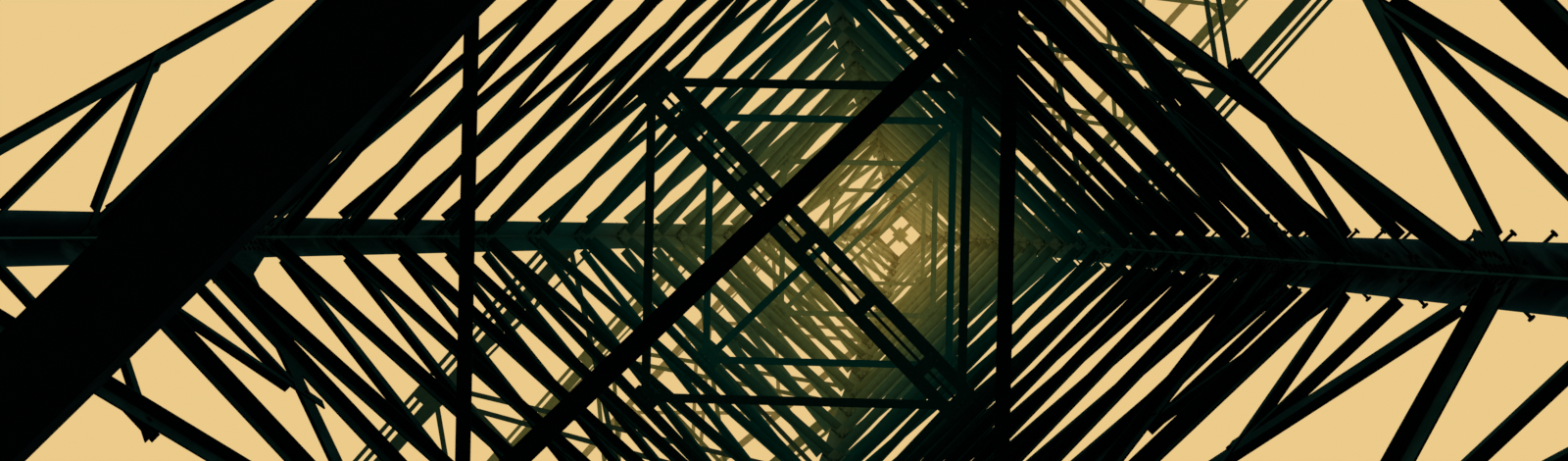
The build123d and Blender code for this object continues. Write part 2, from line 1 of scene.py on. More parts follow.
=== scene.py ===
"""Dress the half-size lattice transmission pylon: painted steel, bolts, step bolts, splices and light."""
import logging
from collections.abc import Callable
from dataclasses import dataclass, field
from enum import Enum

import bpy
import numpy as np
from mathutils import Matrix, Vector


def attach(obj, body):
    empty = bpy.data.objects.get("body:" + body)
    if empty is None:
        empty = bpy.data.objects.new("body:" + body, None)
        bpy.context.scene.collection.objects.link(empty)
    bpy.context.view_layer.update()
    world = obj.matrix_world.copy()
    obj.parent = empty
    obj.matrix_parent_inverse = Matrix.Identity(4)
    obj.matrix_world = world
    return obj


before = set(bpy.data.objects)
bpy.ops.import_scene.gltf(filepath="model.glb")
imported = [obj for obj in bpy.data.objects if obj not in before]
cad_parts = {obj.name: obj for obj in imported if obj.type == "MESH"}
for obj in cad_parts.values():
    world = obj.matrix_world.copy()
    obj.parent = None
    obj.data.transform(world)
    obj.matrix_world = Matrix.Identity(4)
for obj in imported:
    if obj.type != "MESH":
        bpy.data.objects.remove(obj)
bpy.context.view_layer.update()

LOG = logging.getLogger("pylon")
IMAGE_WIDTH = 1600
SENSOR_WIDTH_MM = 36.0
QUARTER = np.pi / 2
OUTWARD = np.array([0.0, 0.0, 1.0])
CORNERS = np.array([(-1, -1), (1, -1), (1, 1), (-1, 1)])
SQUARE_SIDES = 4
HEX_SIDES = 6
ROUND_SIDES = 10

Socket = bpy.types.NodeSocket
Colour = tuple[int, int, int]


class Slot(Enum):
    """The record's material slots."""

    LEG = "leg_steel"
    BRACE = "brace_steel"
    FRAME = "frame_steel"
    ARM = "arm_steel"
    PEAK = "peak_steel"
    CONCRETE = "concrete"


class Side(Enum):
    """The four faces, numbered by quarter turns from the south."""

    SOUTH = 0
    EAST = 1
    NORTH = 2
    WEST = 3


class Corner(Enum):
    """The four legs, numbered by quarter turns from the southwest."""

    SOUTHWEST = 0
    SOUTHEAST = 1
    NORTHEAST = 2
    NORTHWEST = 3


def screen(red: int, green: int, blue: int) -> tuple[float, float, float, float]:
    """Turn a colour as a screen shows it into the linear colour that a shader takes.

    Args:
        red: Red from 0 to 255.
        green: Green from 0 to 255.
        blue: Blue from 0 to 255.

    Returns:
        Linear red, green, blue and an alpha of one.
    """
    share = np.array([red, green, blue]) / 255
    linear = np.where(share <= 0.04045, share / 12.92, ((share + 0.055) / 1.055) ** 2.4)
    return (*(float(v) for v in linear), 1.0)


# Building meshes


class Shape:
    """A mesh in the making: whole arrays of points and faces, added one set at a time."""

    def __init__(self) -> None:
        """Start with nothing."""
        self.points: list[np.ndarray] = []
        self.faces: list[list[int]] = []
        self.count = 0

    def add(self, points: np.ndarray, faces: list[np.ndarray]) -> None:
        """Add points and the faces that join them.

        Args:
            points: An array of any shape whose last axis holds x, y and z.
            faces: Arrays of point numbers, one row a face.
        """
        flat = points.reshape(-1, 3)
        for group in faces:
            self.faces += (group + self.count).tolist()
        self.points.append(flat)
        self.count += len(flat)

    def move(self, where: Callable[[np.ndarray], np.ndarray]) -> None:
        """Put all points where a function of them says."""
        self.points = [where(np.concatenate(self.points))]

    def piece(self, name: str, material: bpy.types.Material) -> None:
        """Make the object, dress it and let it ride on the tower.

        Args:
            name: The piece's name.
            material: Its material.
        """
        mesh = bpy.data.meshes.new(name)
        mesh.from_pydata(np.concatenate(self.points), [], self.faces)
        mesh.validate()
        mesh.materials.append(material)
        thing = bpy.data.objects.new(name, mesh)
        bpy.context.scene.collection.objects.link(thing)
        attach(thing, "root")
        LOG.info("%s: %d faces", name, len(mesh.polygons))


def unit(vectors: np.ndarray) -> np.ndarray:
    """Scale every vector to a length of one."""
    return vectors / np.linalg.norm(vectors, axis=-1, keepdims=True)


def once(places: np.ndarray) -> np.ndarray:
    """Every place a single time, where places that agree to a hundredth of a millimetre are one."""
    return np.unique(places.round(5), axis=0)


def skin(number: int, rings: int, size: int) -> list[np.ndarray]:
    """The faces of closed tubes that are given ring by ring.

    A wall joins points k and k + 1 of one ring to the same points of the next, and the first and the
    last ring are the ends.

    Args:
        number: How many tubes there are.
        rings: How many rings each tube has.
        size: How many points each ring has.

    Returns:
        The walls, the low ends and the high ends, as rows of point numbers.
    """
    index = np.arange(number * rings * size).reshape(number, rings, size)
    turn = np.roll(index, -1, axis=2)
    walls = np.stack([index[:, :-1], turn[:, :-1], turn[:, 1:], index[:, 1:]], axis=-1)
    return [walls.reshape(-1, 4), index[:, 0, ::-1], index[:, -1]]


def carried(outline: np.ndarray, starts: np.ndarray, ends: np.ndarray,
            normals: np.ndarray) -> tuple[np.ndarray, list[np.ndarray]]:
    """Carry one outline from each start to its end, as rolled bars and cut plates are made.

    A point is station + a * across + b * normal, where (a, b) is the outline's point and across is
    normal x along, so the outline runs anticlockwise for a viewer at the far end.

    Args:
        outline: K points of two coordinates.
        starts: N places where the bars begin.
        ends: N places where they end.
        normals: N directions, or one for all, that the outline's second coordinate follows.

    Returns:
        The points, N x 2 x K x 3, and the side and end faces.
    """
    area = np.sum(outline[:, 0] * np.roll(outline[:, 1], -1) - np.roll(outline[:, 0], -1) * outline[:, 1])
    if area < 0:
        outline = outline[::-1]
    along = unit(ends - starts)
    normals = np.broadcast_to(normals, along.shape)
    across = unit(np.cross(normals, along))
    upright = np.cross(along, across)
    section = outline[:, 0, None] * across[:, None, :] + outline[:, 1, None] * upright[:, None, :]
    points = np.stack([starts[:, None, :] + section, ends[:, None, :] + section], axis=1)
    return points, skin(*points.shape[:3])


def turned(profile: np.ndarray, centres: np.ndarray, axes: np.ndarray,
           sides: int) -> tuple[np.ndarray, list[np.ndarray]]:
    """Turn one profile about an axis at each centre, as nuts, bolts and washers are made.

    A point is centre + height * axis + radius * (cos a * u + sin a * w), with a in equal steps and
    u, w and the axis at right angles.

    Args:
        profile: P rows of radius and height, the height never falling.
        centres: N places.
        axes: N directions, or one for all.
        sides: How many flats the turned shape has.

    Returns:
        The points, N x P x sides x 3, and the side and end faces.
    """
    axes = unit(np.broadcast_to(axes, centres.shape).astype(float))
    helper = np.where(np.abs(axes[:, 2:3]) > 0.9, [[1.0, 0.0, 0.0]], [[0.0, 0.0, 1.0]])
    first = unit(np.cross(helper, axes))
    second = np.cross(axes, first)
    angle = np.linspace(0.0, 2 * np.pi, sides, endpoint=False)
    ring = np.cos(angle)[:, None] * first[:, None, :] + np.sin(angle)[:, None] * second[:, None, :]
    points = (centres[:, None, None, :] + profile[None, :, 1, None, None] * axes[:, None, None, :]
              + profile[None, :, 0, None, None] * ring[:, None, :, :])
    return points, skin(*points.shape[:3])


def box_outline(low: float, high: float, bottom: float, top: float) -> np.ndarray:
    """A rectangle's four corners."""
    return np.array([[low, bottom], [high, bottom], [high, top], [low, top]])


def quarter_turned(points: np.ndarray, quarters: int) -> np.ndarray:
    """Turn points about the tower's axis: (x cos a - y sin a, x sin a + y cos a, z).

    Args:
        points: An array whose last axis holds x, y and z.
        quarters: The angle a in quarter turns.

    Returns:
        The turned points.
    """
    cosine, sine = np.cos(QUARTER * quarters), np.sin(QUARTER * quarters)
    x, y, z = points[..., 0], points[..., 1], points[..., 2]
    return np.stack([cosine * x - sine * y, sine * x + cosine * y, z], axis=-1)


# The tower's setting-out


@dataclass(frozen=True)
class Body:
    """The square body that leans in evenly, in metres: what every detail is set out from."""

    base_side: float = 4.358
    top_side: float = 0.427
    top: float = 27.78
    leg_thick: float = 0.012
    gap: float = 0.0002
    bar_thick: float = 0.006
    gauge: float = 0.07
    leg_joint: float = 10.13
    leg_change: float = 23.23
    flanges: tuple[float, float, float] = (0.125, 0.112, 0.085)
    frame_thick: float = 0.008

    @property
    def leg_outer(self) -> float:
        """How far out of a face's drawing the legs' outer surface lies."""
        return self.leg_thick + self.gap

    @property
    def batter(self) -> float:
        """How far each face leans in for a metre of height."""
        return (self.base_side - self.top_side) / (2 * self.top)

    @property
    def slope(self) -> float:
        """The length of a leaning line for a metre of height."""
        return float(np.hypot(1.0, self.batter))

    def half(self, height: np.ndarray | float) -> np.ndarray | float:
        """Half the body's side at a height."""
        return self.base_side / 2 - self.batter * height

    def height_of(self, half: np.ndarray) -> np.ndarray:
        """The height at which the body's half side has a value."""
        return (self.base_side / 2 - half) / self.batter

    def leg_point(self, side: np.ndarray | int, height: np.ndarray | float,
                  depth: float | None = None) -> np.ndarray:
        """A face's point on the gauge line of its left (-1) or right (+1) leg.

        Args:
            side: Minus one for the left leg, one for the right.
            height: The height above the ground.
            depth: The distance in from the heel, or the gauge if it is left out.

        Returns:
            Across and up, on the leaning face.
        """
        inside = self.gauge if depth is None else depth
        across = side * (self.half(height) - inside)
        return np.stack(np.broadcast_arrays(across, np.asarray(height) * self.slope), axis=-1)

    def leg_flange(self, height: float) -> float:
        """The width of the leg's flanges at a height."""
        stretch = np.searchsorted((self.leg_joint, self.leg_change), height, side="right")
        return self.flanges[stretch]

    def frame_reach(self, level: float) -> float:
        """How far a plan frame at a level reaches from the axis."""
        inside = self.half(level + self.frame_thick) - self.leg_thick
        return inside - 2 * self.gap - self.bar_thick * self.slope

    def cut(self, nodes: np.ndarray, away: np.ndarray, width: float, depth: float) -> np.ndarray:
        """How far along each bar its upper edge comes clear of the heel that it starts at.

        A place's distance from the heel grows along a direction v by g(v) = -side * v_x - b * v_y, with
        b the batter on the slope. The edge lies w / 2 along n, the upward normal of the bar, so the cut
        is (depth - gauge - w / 2 * g(n)) / g(away).

        Args:
            nodes: N places on the legs' gauge lines, across and up on the face.
            away: N unit directions into the face.
            width: The bars' width.
            depth: The distance from the heel to keep.

        Returns:
            N lengths, as a column.
        """
        side = np.sign(nodes[:, :1])
        upward = np.c_[-away[:, 1], away[:, 0]] * np.where(away[:, :1] > 0, 1.0, -1.0)
        lean = self.batter / self.slope
        along_rate = -side * away[:, :1] - lean * away[:, 1:]
        edge_rate = -side * upward[:, :1] - lean * upward[:, 1:]
        return (depth - self.gauge - width / 2 * edge_rate) / along_rate

    def on_face(self, places: np.ndarray, side: Side) -> np.ndarray:
        """Put places drawn on a face into the world.

        The face's drawing has across, up and out. It leans in by the batter, lies inside the legs, and
        turns a quarter for each side after the south.

        Args:
            places: An array whose last axis holds across, up and out.
            side: The face.

        Returns:
            The same places as x, y and z.
        """
        across, up, out = places[..., 0], places[..., 1], places[..., 2]
        wall = -self.base_side / 2 + self.leg_thick + self.gap
        y = wall + (self.batter * up - out) / self.slope
        z = (up + self.batter * out) / self.slope
        return quarter_turned(np.stack([across, y, z], axis=-1), side.value)


@dataclass(frozen=True)
class PanelRow:
    """A row of crossed bars that climbs a face, every panel of one shape."""

    low: float
    high: float
    count: int
    width: float = 0.0
    lap_share: float = 0.0

    def bars(self, body: Body) -> tuple[np.ndarray, np.ndarray, np.ndarray]:
        """Set out both bars of each panel.

        The half sides at the panels' ends are a geometric series, and each end laps a little past its
        neighbour's at the legs.

        Args:
            body: The tower's body.

        Returns:
            Starts and ends on the face, one row a bar, and the side that each bar starts from.
        """
        steps = np.linspace(0.0, 1.0, self.count + 1)
        ratio = body.half(self.high) / body.half(self.low)
        levels = body.height_of(body.half(self.low) * ratio ** steps)
        lap = self.lap_share * np.diff(levels) / 2
        low = levels[:-1] - np.where(np.arange(self.count) > 0, lap, 0.0)
        high = levels[1:] + np.where(np.arange(self.count) < self.count - 1, lap, 0.0)
        sides = np.repeat([-1, 1], self.count)
        starts = body.leg_point(sides, np.tile(low, 2))
        ends = body.leg_point(-sides, np.tile(high, 2))
        return starts, ends, sides


@dataclass(frozen=True)
class KPanel:
    """A tall X whose crossing carries a rail, with short bars from its four arms to the legs."""

    low: float
    high: float

    def bars(self, body: Body) -> tuple[np.ndarray, np.ndarray, np.ndarray]:
        """Starts and ends of the two long bars, and the side that each starts from."""
        return PanelRow(self.low, self.high, 1).bars(body)

    def crossing(self, body: Body) -> float:
        """The height at which the long bars cross."""
        wide, narrow = body.half(self.low), body.half(self.high)
        return self.low + (self.high - self.low) * wide / (wide + narrow)

    def rail_halves(self, body: Body) -> tuple[np.ndarray, np.ndarray]:
        """Where the rail's two halves start, at the crossing, and where they end, at the legs."""
        height = self.crossing(body)
        return np.tile([0.0, height * body.slope], (2, 1)), body.leg_point(np.array([-1, 1]), height)

    def short_bars(self, body: Body) -> tuple[np.ndarray, np.ndarray, np.ndarray]:
        """Set out the short bars.

        Each joint lies half way from a leg's node to the crossing, and two bars go from it to the leg:
        one level, and one to the height of the crossing.

        Args:
            body: The tower's body.

        Returns:
            The joints, the places on the legs, and whether the long bar at each joint is the inner one.
        """
        height = self.crossing(body)
        sides = np.array([-1, 1, -1, 1])
        nodes = body.leg_point(sides, np.array([self.low, self.low, self.high, self.high]))
        joints = (nodes + np.array([0.0, height * body.slope])) / 2
        level = body.leg_point(sides, joints[:, 1] / body.slope)
        slanting = body.leg_point(sides, np.full(4, height))
        inner = np.array([False, True, True, False])
        return np.tile(joints, (2, 1)), np.concatenate([level, slanting]), np.tile(inner, 2)


@dataclass(frozen=True)
class BaseHalf:
    """The open bottom panel's raking bars and the short bars that hold the legs to them."""

    foot: float = 0.5202
    top: float = 3.43
    rail: float = 0.08
    bar: float = 0.08
    spread: float = 0.06
    short: float = 0.03

    def short_bars(self, body: Body) -> tuple[np.ndarray, np.ndarray]:
        """Set out the short bars, with their joints at the thirds of the raking bars.

        Args:
            body: The tower's body.

        Returns:
            The joints, and the places on the legs that they hold.
        """
        joints, places = [], []
        rise = self.top - self.foot
        heights = [self.foot + rise / 3, self.foot + 2 / 3 * rise, self.foot + 2 / 3 * rise,
                   self.top - self.rail - 2 * self.short]
        for side in (-1, 1):
            foot = body.leg_point(side, self.foot)
            head = np.array([side * self.spread, (self.top - self.rail - self.bar / 2) * body.slope])
            joints += [foot + share * (head - foot) for share in (1 / 3, 1 / 3, 2 / 3, 2 / 3)]
            places += [body.leg_point(side, height) for height in heights]
        return np.array(joints), np.array(places)


@dataclass(frozen=True)
class Levels:
    """Heights of the tower's rails and frames, in metres."""

    tie: float = 3.43
    knee: float = 7.7
    knee_spread: float = 0.2
    belt: float = 10.175
    belt_joint: float = 10.6
    double_tie: float = 13.91
    low_arm: float = 15.86
    mid_arm: float = 19.25
    top_arm: float = 22.41
    row_start: float = 0.02
    below_rail: float = 0.096
    rail: float = 0.046
    belt_rail: float = 0.08


# Finishes


@dataclass(frozen=True)
class HeightColour:
    """The paint's colour from a height upwards, painted shade or haze glare included."""

    height: float
    colour: Colour


@dataclass(frozen=True)
class Cloud:
    """Cloudy noise, and the two values between which it grows from nothing to all."""

    scale: float
    detail: float
    rough: float
    low: float
    high: float


@dataclass(frozen=True)
class PaintWearAndPaintedLight:
    """Dark green paint over steel, with painted shade near the foot and on faces turned down, and a
    painted haze glare that pales it towards the top of the tower.

    The colour follows the height of the place on the tower. Soft smudges of washed-out paint, rain
    streaks down the steel and a few rust freckles lie over it.
    """

    name: str
    shade_and_haze_ramp: tuple[HeightColour, ...]
    smudge: Colour = (36, 72, 64)
    smudge_share: float = 0.25
    smudges: Cloud = Cloud(4.5, 6.0, 0.62, 0.5, 0.72)
    smudge_end: float = 17.0
    smudge_fade: float = 6.0
    streak_share: float = 0.35
    streak_depth: float = 0.4
    streak_stretch: tuple[float, float, float] = (26.0, 26.0, 1.4)
    streaks: Cloud = Cloud(1.0, 5.0, 0.6, 0.46, 0.68)
    rust: Colour = (52, 34, 22)
    rust_share: float = 0.2
    freckles: Cloud = Cloud(42.0, 4.0, 0.7, 0.66, 0.74)
    roughness: float = 0.85
    roughness_spread: float = 0.1
    shine: float = 0.0
    grain: tuple[float, float, float] = (180.0, 5.0, 0.65)
    grain_height: float = 0.0004
    top: float = 28.2
    # Painted shade: the colour that faces turned down take low on the tower, with the heights and normal
    # rises it fades over.
    underside_shade: Colour = (1, 3, 3)
    underside_shade_heights: tuple[float, float] = (12.5, 16.0)
    underside_shade_turn: tuple[float, float] = (-0.35, -0.12)
    toe_lift: float = 0.0
    toe_start: float = 0.05
    toe_ends: tuple[float, float] = (9.0, 15.0)

    def toe_share(self, net: "Net", place: Socket) -> Socket:
        """How near a place on a leg is to the flange's toe.

        The distance from the heel is the body's half side less the smaller of |x| and |y|.

        Args:
            net: The material's nodes.
            place: The place on the object.

        Returns:
            Nothing near the heel, all at the toe.
        """
        body = Body()
        inward = net.maths("MINIMUM", net.away(place, "X"), net.away(place, "Y"))
        rise = net.times(net.axis(place, "Z"), body.batter)
        from_heel = net.maths("SUBTRACT", net.maths("ADD", rise, inward), body.base_side / 2)
        share = net.fading(from_heel, -body.flanges[0], -self.toe_start)
        return net.times(share, net.fading(net.axis(place, "Z"), *self.toe_ends))

    def material(self) -> bpy.types.Material:
        """Build the paint's nodes.

        Returns:
            The finished material.
        """
        mat, net = Net.fresh(self.name)
        place = net.object_place()
        height = net.divided(net.axis(place, "Z"), self.top)
        # The height ramp is painted light: near-black painted shade low on the tower, paling to a painted
        # haze glare near the top.
        base = net.ramp(height, [(stop.height / self.top, screen(*stop.colour)) for stop in self.shade_and_haze_ramp])
        if self.toe_lift:
            share = self.toe_share(net, place)
            base = net.mixed(net.times(share, share), base, net.scaled_colour(base, self.toe_lift))
        # Painted shade on faces turned down, below the shade heights.
        underside_shade_share = net.fading(height, *(level / self.top for level in self.underside_shade_heights))
        under = net.times(net.turned_down(*self.underside_shade_turn), underside_shade_share)
        base = net.mixed(under, base, screen(*self.underside_shade))
        near = net.fading(height, (self.smudge_end - self.smudge_fade) / self.top, self.smudge_end / self.top)
        open_near = net.times(near, net.fading(under, 0.0, 1.0))
        smudges = net.cloud(place, self.smudges)
        smudging = net.times(net.times(smudges, open_near), self.smudge_share)
        smudged = net.mixed(smudging, base, screen(*self.smudge))
        streaks = net.cloud(net.mapped(place, self.streak_stretch), self.streaks)
        darker = net.scaled_colour(smudged, self.streak_depth)
        streaked = net.mixed(net.times(streaks, self.streak_share), smudged, darker)
        freckles = net.cloud(place, self.freckles)
        rusting = net.times(net.times(freckles, open_near), self.rust_share)
        rusty = net.mixed(rusting, streaked, screen(*self.rust))
        net.link(rusty, net.shader.inputs["Base Color"])
        spread = net.map_range(smudges, 0.0, 1.0, self.roughness - self.roughness_spread,
                               self.roughness + self.roughness_spread)
        net.link(spread, net.shader.inputs["Roughness"])
        net.shader.inputs["Specular IOR Level"].default_value = self.shine
        net.bump(net.noise(place, *self.grain), self.grain_height)
        return mat


@dataclass(frozen=True)
class CastConcrete:
    """Pale cast concrete with cement clouds, small pores, damp at the foot and faint board lines."""

    name: str = "cast_concrete"
    pale: Colour = (176, 170, 154)
    dark: Colour = (132, 126, 112)
    damp: Colour = (92, 90, 78)
    pore: Colour = (74, 70, 62)
    clouds: tuple[float, float, float] = (6.0, 8.0, 0.6)
    cloud_ends: tuple[float, float] = (0.35, 0.65)
    pores: Cloud = Cloud(95.0, 3.0, 0.5, 0.68, 0.74)
    pore_share: float = 0.7
    damp_height: float = 0.09
    damp_share: float = 0.8
    damp_ends: tuple[float, float] = (0.3, 0.6)
    board_pitch: float = 0.045
    board_share: float = 0.18
    roughness: float = 0.88
    shine: float = 0.25
    grain: tuple[float, float, float] = (60.0, 6.0, 0.6)
    relief: float = 0.0025

    def material(self) -> bpy.types.Material:
        """Build the concrete's nodes.

        Returns:
            The finished material.
        """
        mat, net = Net.fresh(self.name)
        place = net.object_place()
        height = net.axis(place, "Z")
        clouds = net.noise(place, *self.clouds)
        colours = (screen(*self.dark), screen(*self.pale))
        base = net.ramp(clouds, list(zip(self.cloud_ends, colours)))
        pores = net.times(net.cloud(place, self.pores), self.pore_share)
        boards = net.times(net.wave(height, self.board_pitch), self.board_share)
        wet = net.map_range(height, 0.0, self.damp_height, self.damp_share, 0.0)
        wet = net.times(wet, net.threshold(clouds, *self.damp_ends))
        coloured = net.mixed(pores, base, screen(*self.pore))
        coloured = net.mixed(boards, coloured, screen(*self.dark))
        coloured = net.mixed(wet, coloured, screen(*self.damp))
        net.link(coloured, net.shader.inputs["Base Color"])
        net.shader.inputs["Roughness"].default_value = self.roughness
        net.shader.inputs["Specular IOR Level"].default_value = self.shine
        net.bump(net.noise(place, *self.grain), self.relief)
        return mat


class Net:
    """Short names for the shader nodes that the finishes use."""

    def __init__(self, tree: bpy.types.NodeTree) -> None:
        """Take a new material's tree with its principled shader."""
        self.tree = tree
        self.shader = tree.nodes["Principled BSDF"]

    @staticmethod
    def fresh(name: str) -> tuple[bpy.types.Material, "Net"]:
        """Make a new material.

        Args:
            name: Its name.

        Returns:
            The material and its nodes.
        """
        mat = bpy.data.materials.new(name)
        mat.use_nodes = True
        return mat, Net(mat.node_tree)

    def link(self, source: Socket, target: Socket) -> None:
        """Join two sockets."""
        self.tree.links.new(source, target)

    def node(self, kind: str, output: int | str, inputs: dict[int | str, object],
             **settings: str) -> Socket:
        """Add a node and feed it.

        Args:
            kind: The node's type, without its first word.
            output: Which output is wanted.
            inputs: For each input the socket to link to it, or its value.
            settings: The node's own settings, made before it is fed.

        Returns:
            The wanted output.
        """
        node = self.tree.nodes.new("ShaderNode" + kind)
        for name, setting in settings.items():
            setattr(node, name, setting)
        for name, value in inputs.items():
            if isinstance(value, Socket):
                self.link(value, node.inputs[name])
            else:
                node.inputs[name].default_value = value
        return node.outputs[output]

    def object_place(self) -> Socket:
        """The place on the object, in metres."""
        return self.node("TexCoord", "Object", {})

    def axis(self, place: Socket, name: str) -> Socket:
        """One coordinate of a place."""
        return self.node("SeparateXYZ", name, {0: place})

    def away(self, place: Socket, name: str) -> Socket:
        """One coordinate's distance from nothing."""
        return self.maths("ABSOLUTE", self.axis(place, name), 0.0)

    def turned_down(self, steep: float, level: float) -> Socket:
        """All where the normal's rise is under the first value, nothing where it is over the second."""
        normal = self.node("NewGeometry", "Normal", {})
        return self.fading(self.axis(normal, "Z"), steep, level)

    def mapped(self, place: Socket, scale: tuple[float, float, float]) -> Socket:
        """A place stretched along the axes."""
        return self.node("Mapping", "Vector", {"Vector": place, "Scale": scale})

    def noise(self, place: Socket, scale: float, detail: float, rough: float) -> Socket:
        """Cloudy noise at a place."""
        look = {"Scale": scale, "Detail": detail, "Roughness": rough}
        return self.node("TexNoise", "Fac", {"Vector": place, **look})

    def cloud(self, place: Socket, cloud: Cloud) -> Socket:
        """The share of a cloud pattern at a place."""
        noise = self.noise(place, cloud.scale, cloud.detail, cloud.rough)
        return self.threshold(noise, cloud.low, cloud.high)

    def maths(self, operation: str, value: Socket, other: Socket | float) -> Socket:
        """One sum on two values."""
        return self.node("Math", 0, {0: value, 1: other}, operation=operation)

    def times(self, value: Socket, other: Socket | float) -> Socket:
        """A product."""
        return self.maths("MULTIPLY", value, other)

    def divided(self, value: Socket, other: float) -> Socket:
        """A quotient."""
        return self.maths("DIVIDE", value, other)

    def wave(self, value: Socket, pitch: float, line_share: float = 0.06) -> Socket:
        """Thin lines at an even pitch along a value: one near each multiple of the pitch, else nothing."""
        across = self.maths("PINGPONG", self.divided(value, pitch), 0.5)
        return self.fading(across, 0.0, line_share)

    def map_range(self, value: Socket, low: float, high: float, at_low: float, at_high: float) -> Socket:
        """A value carried from one range to another and held at its ends."""
        ends = {"From Min": low, "From Max": high, "To Min": at_low, "To Max": at_high}
        return self.node("MapRange", "Result", {"Value": value, **ends})

    def threshold(self, value: Socket, low: float, high: float) -> Socket:
        """Nothing below the low value, all above the high one."""
        return self.map_range(value, low, high, 0.0, 1.0)

    def fading(self, value: Socket, low: float, high: float) -> Socket:
        """All below the low value, nothing above the high one."""
        return self.map_range(value, low, high, 1.0, 0.0)

    def ramp(self, value: Socket, stops: list[tuple[float, tuple[float, float, float, float]]]) -> Socket:
        """A colour that changes evenly from stop to stop.

        Args:
            value: The value that the colour follows.
            stops: The values and linear colours between which it changes.

        Returns:
            The colour.
        """
        node = self.tree.nodes.new("ShaderNodeValToRGB")
        elements = node.color_ramp.elements
        for i, (position, colour) in enumerate(stops):
            element = elements[i] if i < 2 else elements.new(position)
            element.position = position
            element.color = colour
        self.link(value, node.inputs["Fac"])
        return node.outputs["Color"]

    def mixed(self, share: Socket, base: Socket, colour: Socket | tuple) -> Socket:
        """A base colour with a share of another."""
        return self.node("Mix", 2, {"Factor": share, 6: base, 7: colour}, data_type="RGBA")

    def scaled_colour(self, colour: Socket, share: float) -> Socket:
        """A colour made darker or lighter as a whole."""
        return self.node("VectorMath", "Vector", {0: colour, "Scale": share}, operation="SCALE")

    def bump(self, value: Socket, distance: float) -> None:
        """Raise and lower the surface by a value."""
        normal = self.node("Bump", "Normal", {"Height": value, "Distance": distance, "Strength": 1.0})
        self.link(normal, self.shader.inputs["Normal"])


def fading(*rows: tuple[float, int, int, int]) -> tuple[HeightColour, ...]:
    """The paint's colours with their painted shade and haze glare, from rows of a height, red, green and
    blue.
    """
    return tuple(HeightColour(height, (red, green, blue)) for height, red, green, blue in rows)


# Paint colours by height over dark green paint: the near-black foot is painted shade, the pale khaki top a
# painted haze glare.
BODY_PAINT_SHADE_HAZE = fading(
    (0.0, 30, 47, 35), (3.6, 11, 27, 22), (6.5, 12, 35, 29), (9.0, 4, 26, 24), (13.0, 1, 26, 22),
    (15.9, 3, 52, 44), (17.6, 52, 85, 57), (19.3, 108, 120, 67), (22.4, 163, 154, 82),
    (28.0, 214, 194, 115),
)
LEG_PAINT_SHADE_HAZE = fading(
    (0.0, 1, 9, 9), (9.0, 2, 11, 11), (13.0, 4, 28, 24), (16.0, 14, 58, 48), (19.3, 92, 108, 62),
    (22.4, 158, 150, 80), (28.0, 204, 184, 108),
)
FRAME_PAINT_SHADE_HAZE = fading((0.0, 3, 9, 9), (12.0, 2, 12, 11)) + BODY_PAINT_SHADE_HAZE[5:]
# The root fillet's lighter colour is a painted highlight along each leg's inner corner, paling with painted
# haze up top.
ROOT_HIGHLIGHT_HAZE = fading(
    (0.0, 30, 72, 62), (9.0, 24, 62, 52), (15.9, 20, 48, 38), (19.3, 72, 86, 50), (28.0, 168, 148, 82),
)
ARM_PAINT_SHADE_HAZE = fading(
    (0.0, 10, 22, 18), (15.8, 28, 48, 34), (16.8, 44, 62, 42), (19.2, 106, 106, 54),
    (20.2, 124, 120, 62), (22.4, 170, 147, 82), (28.0, 180, 156, 88),
)


class Finishes:
    """The tower's materials, one for each slot of the record."""

    def __init__(self) -> None:
        """Make every material once."""
        # Each paint's height ramp carries painted shade low down and painted haze glare high up.
        self.by_slot = {
            Slot.LEG: PaintWearAndPaintedLight("leg_paint", LEG_PAINT_SHADE_HAZE, smudge_share=0.4, toe_lift=4.5).material(),
            Slot.BRACE: PaintWearAndPaintedLight("brace_paint", BODY_PAINT_SHADE_HAZE, smudge_share=0.15).material(),
            Slot.FRAME: PaintWearAndPaintedLight("frame_paint", FRAME_PAINT_SHADE_HAZE, smudge_share=0.1).material(),
            Slot.ARM: PaintWearAndPaintedLight("arm_paint", ARM_PAINT_SHADE_HAZE, smudge_end=24.0).material(),
            Slot.PEAK: PaintWearAndPaintedLight("peak_paint", BODY_PAINT_SHADE_HAZE, smudge_end=30.0).material(),
            Slot.CONCRETE: CastConcrete().material(),
        }
        # The bolts take the legs' ramp, with its painted shade at the foot and painted haze glare at the top.
        self.bolt = PaintWearAndPaintedLight(
            "bolt_zinc", LEG_PAINT_SHADE_HAZE, smudge=(50, 72, 60), smudge_share=0.4, streak_share=0.2,
            rust_share=0.1, roughness=0.75, shine=0.01,
        ).material()
        # Painted highlight: the root fillets' lighter paint.
        self.root = PaintWearAndPaintedLight("root_paint", ROOT_HIGHLIGHT_HAZE, smudge_share=0.15).material()

    def dress_frame(self) -> None:
        """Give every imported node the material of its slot, by the first word of its name."""
        by_word = {
            "leg": Slot.LEG, "face": Slot.BRACE, "frame": Slot.FRAME, "tie": Slot.FRAME,
            "crossarm": Slot.ARM, "peak": Slot.PEAK, "footing": Slot.CONCRETE,
        }
        for name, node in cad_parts.items():
            material = self.by_slot[by_word[name.split("_")[0]]]
            if not node.material_slots:
                node.data.materials.append(material)
            for holder in node.material_slots:
                holder.material = material
        LOG.info("dressed %d nodes", len(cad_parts))


# Fasteners


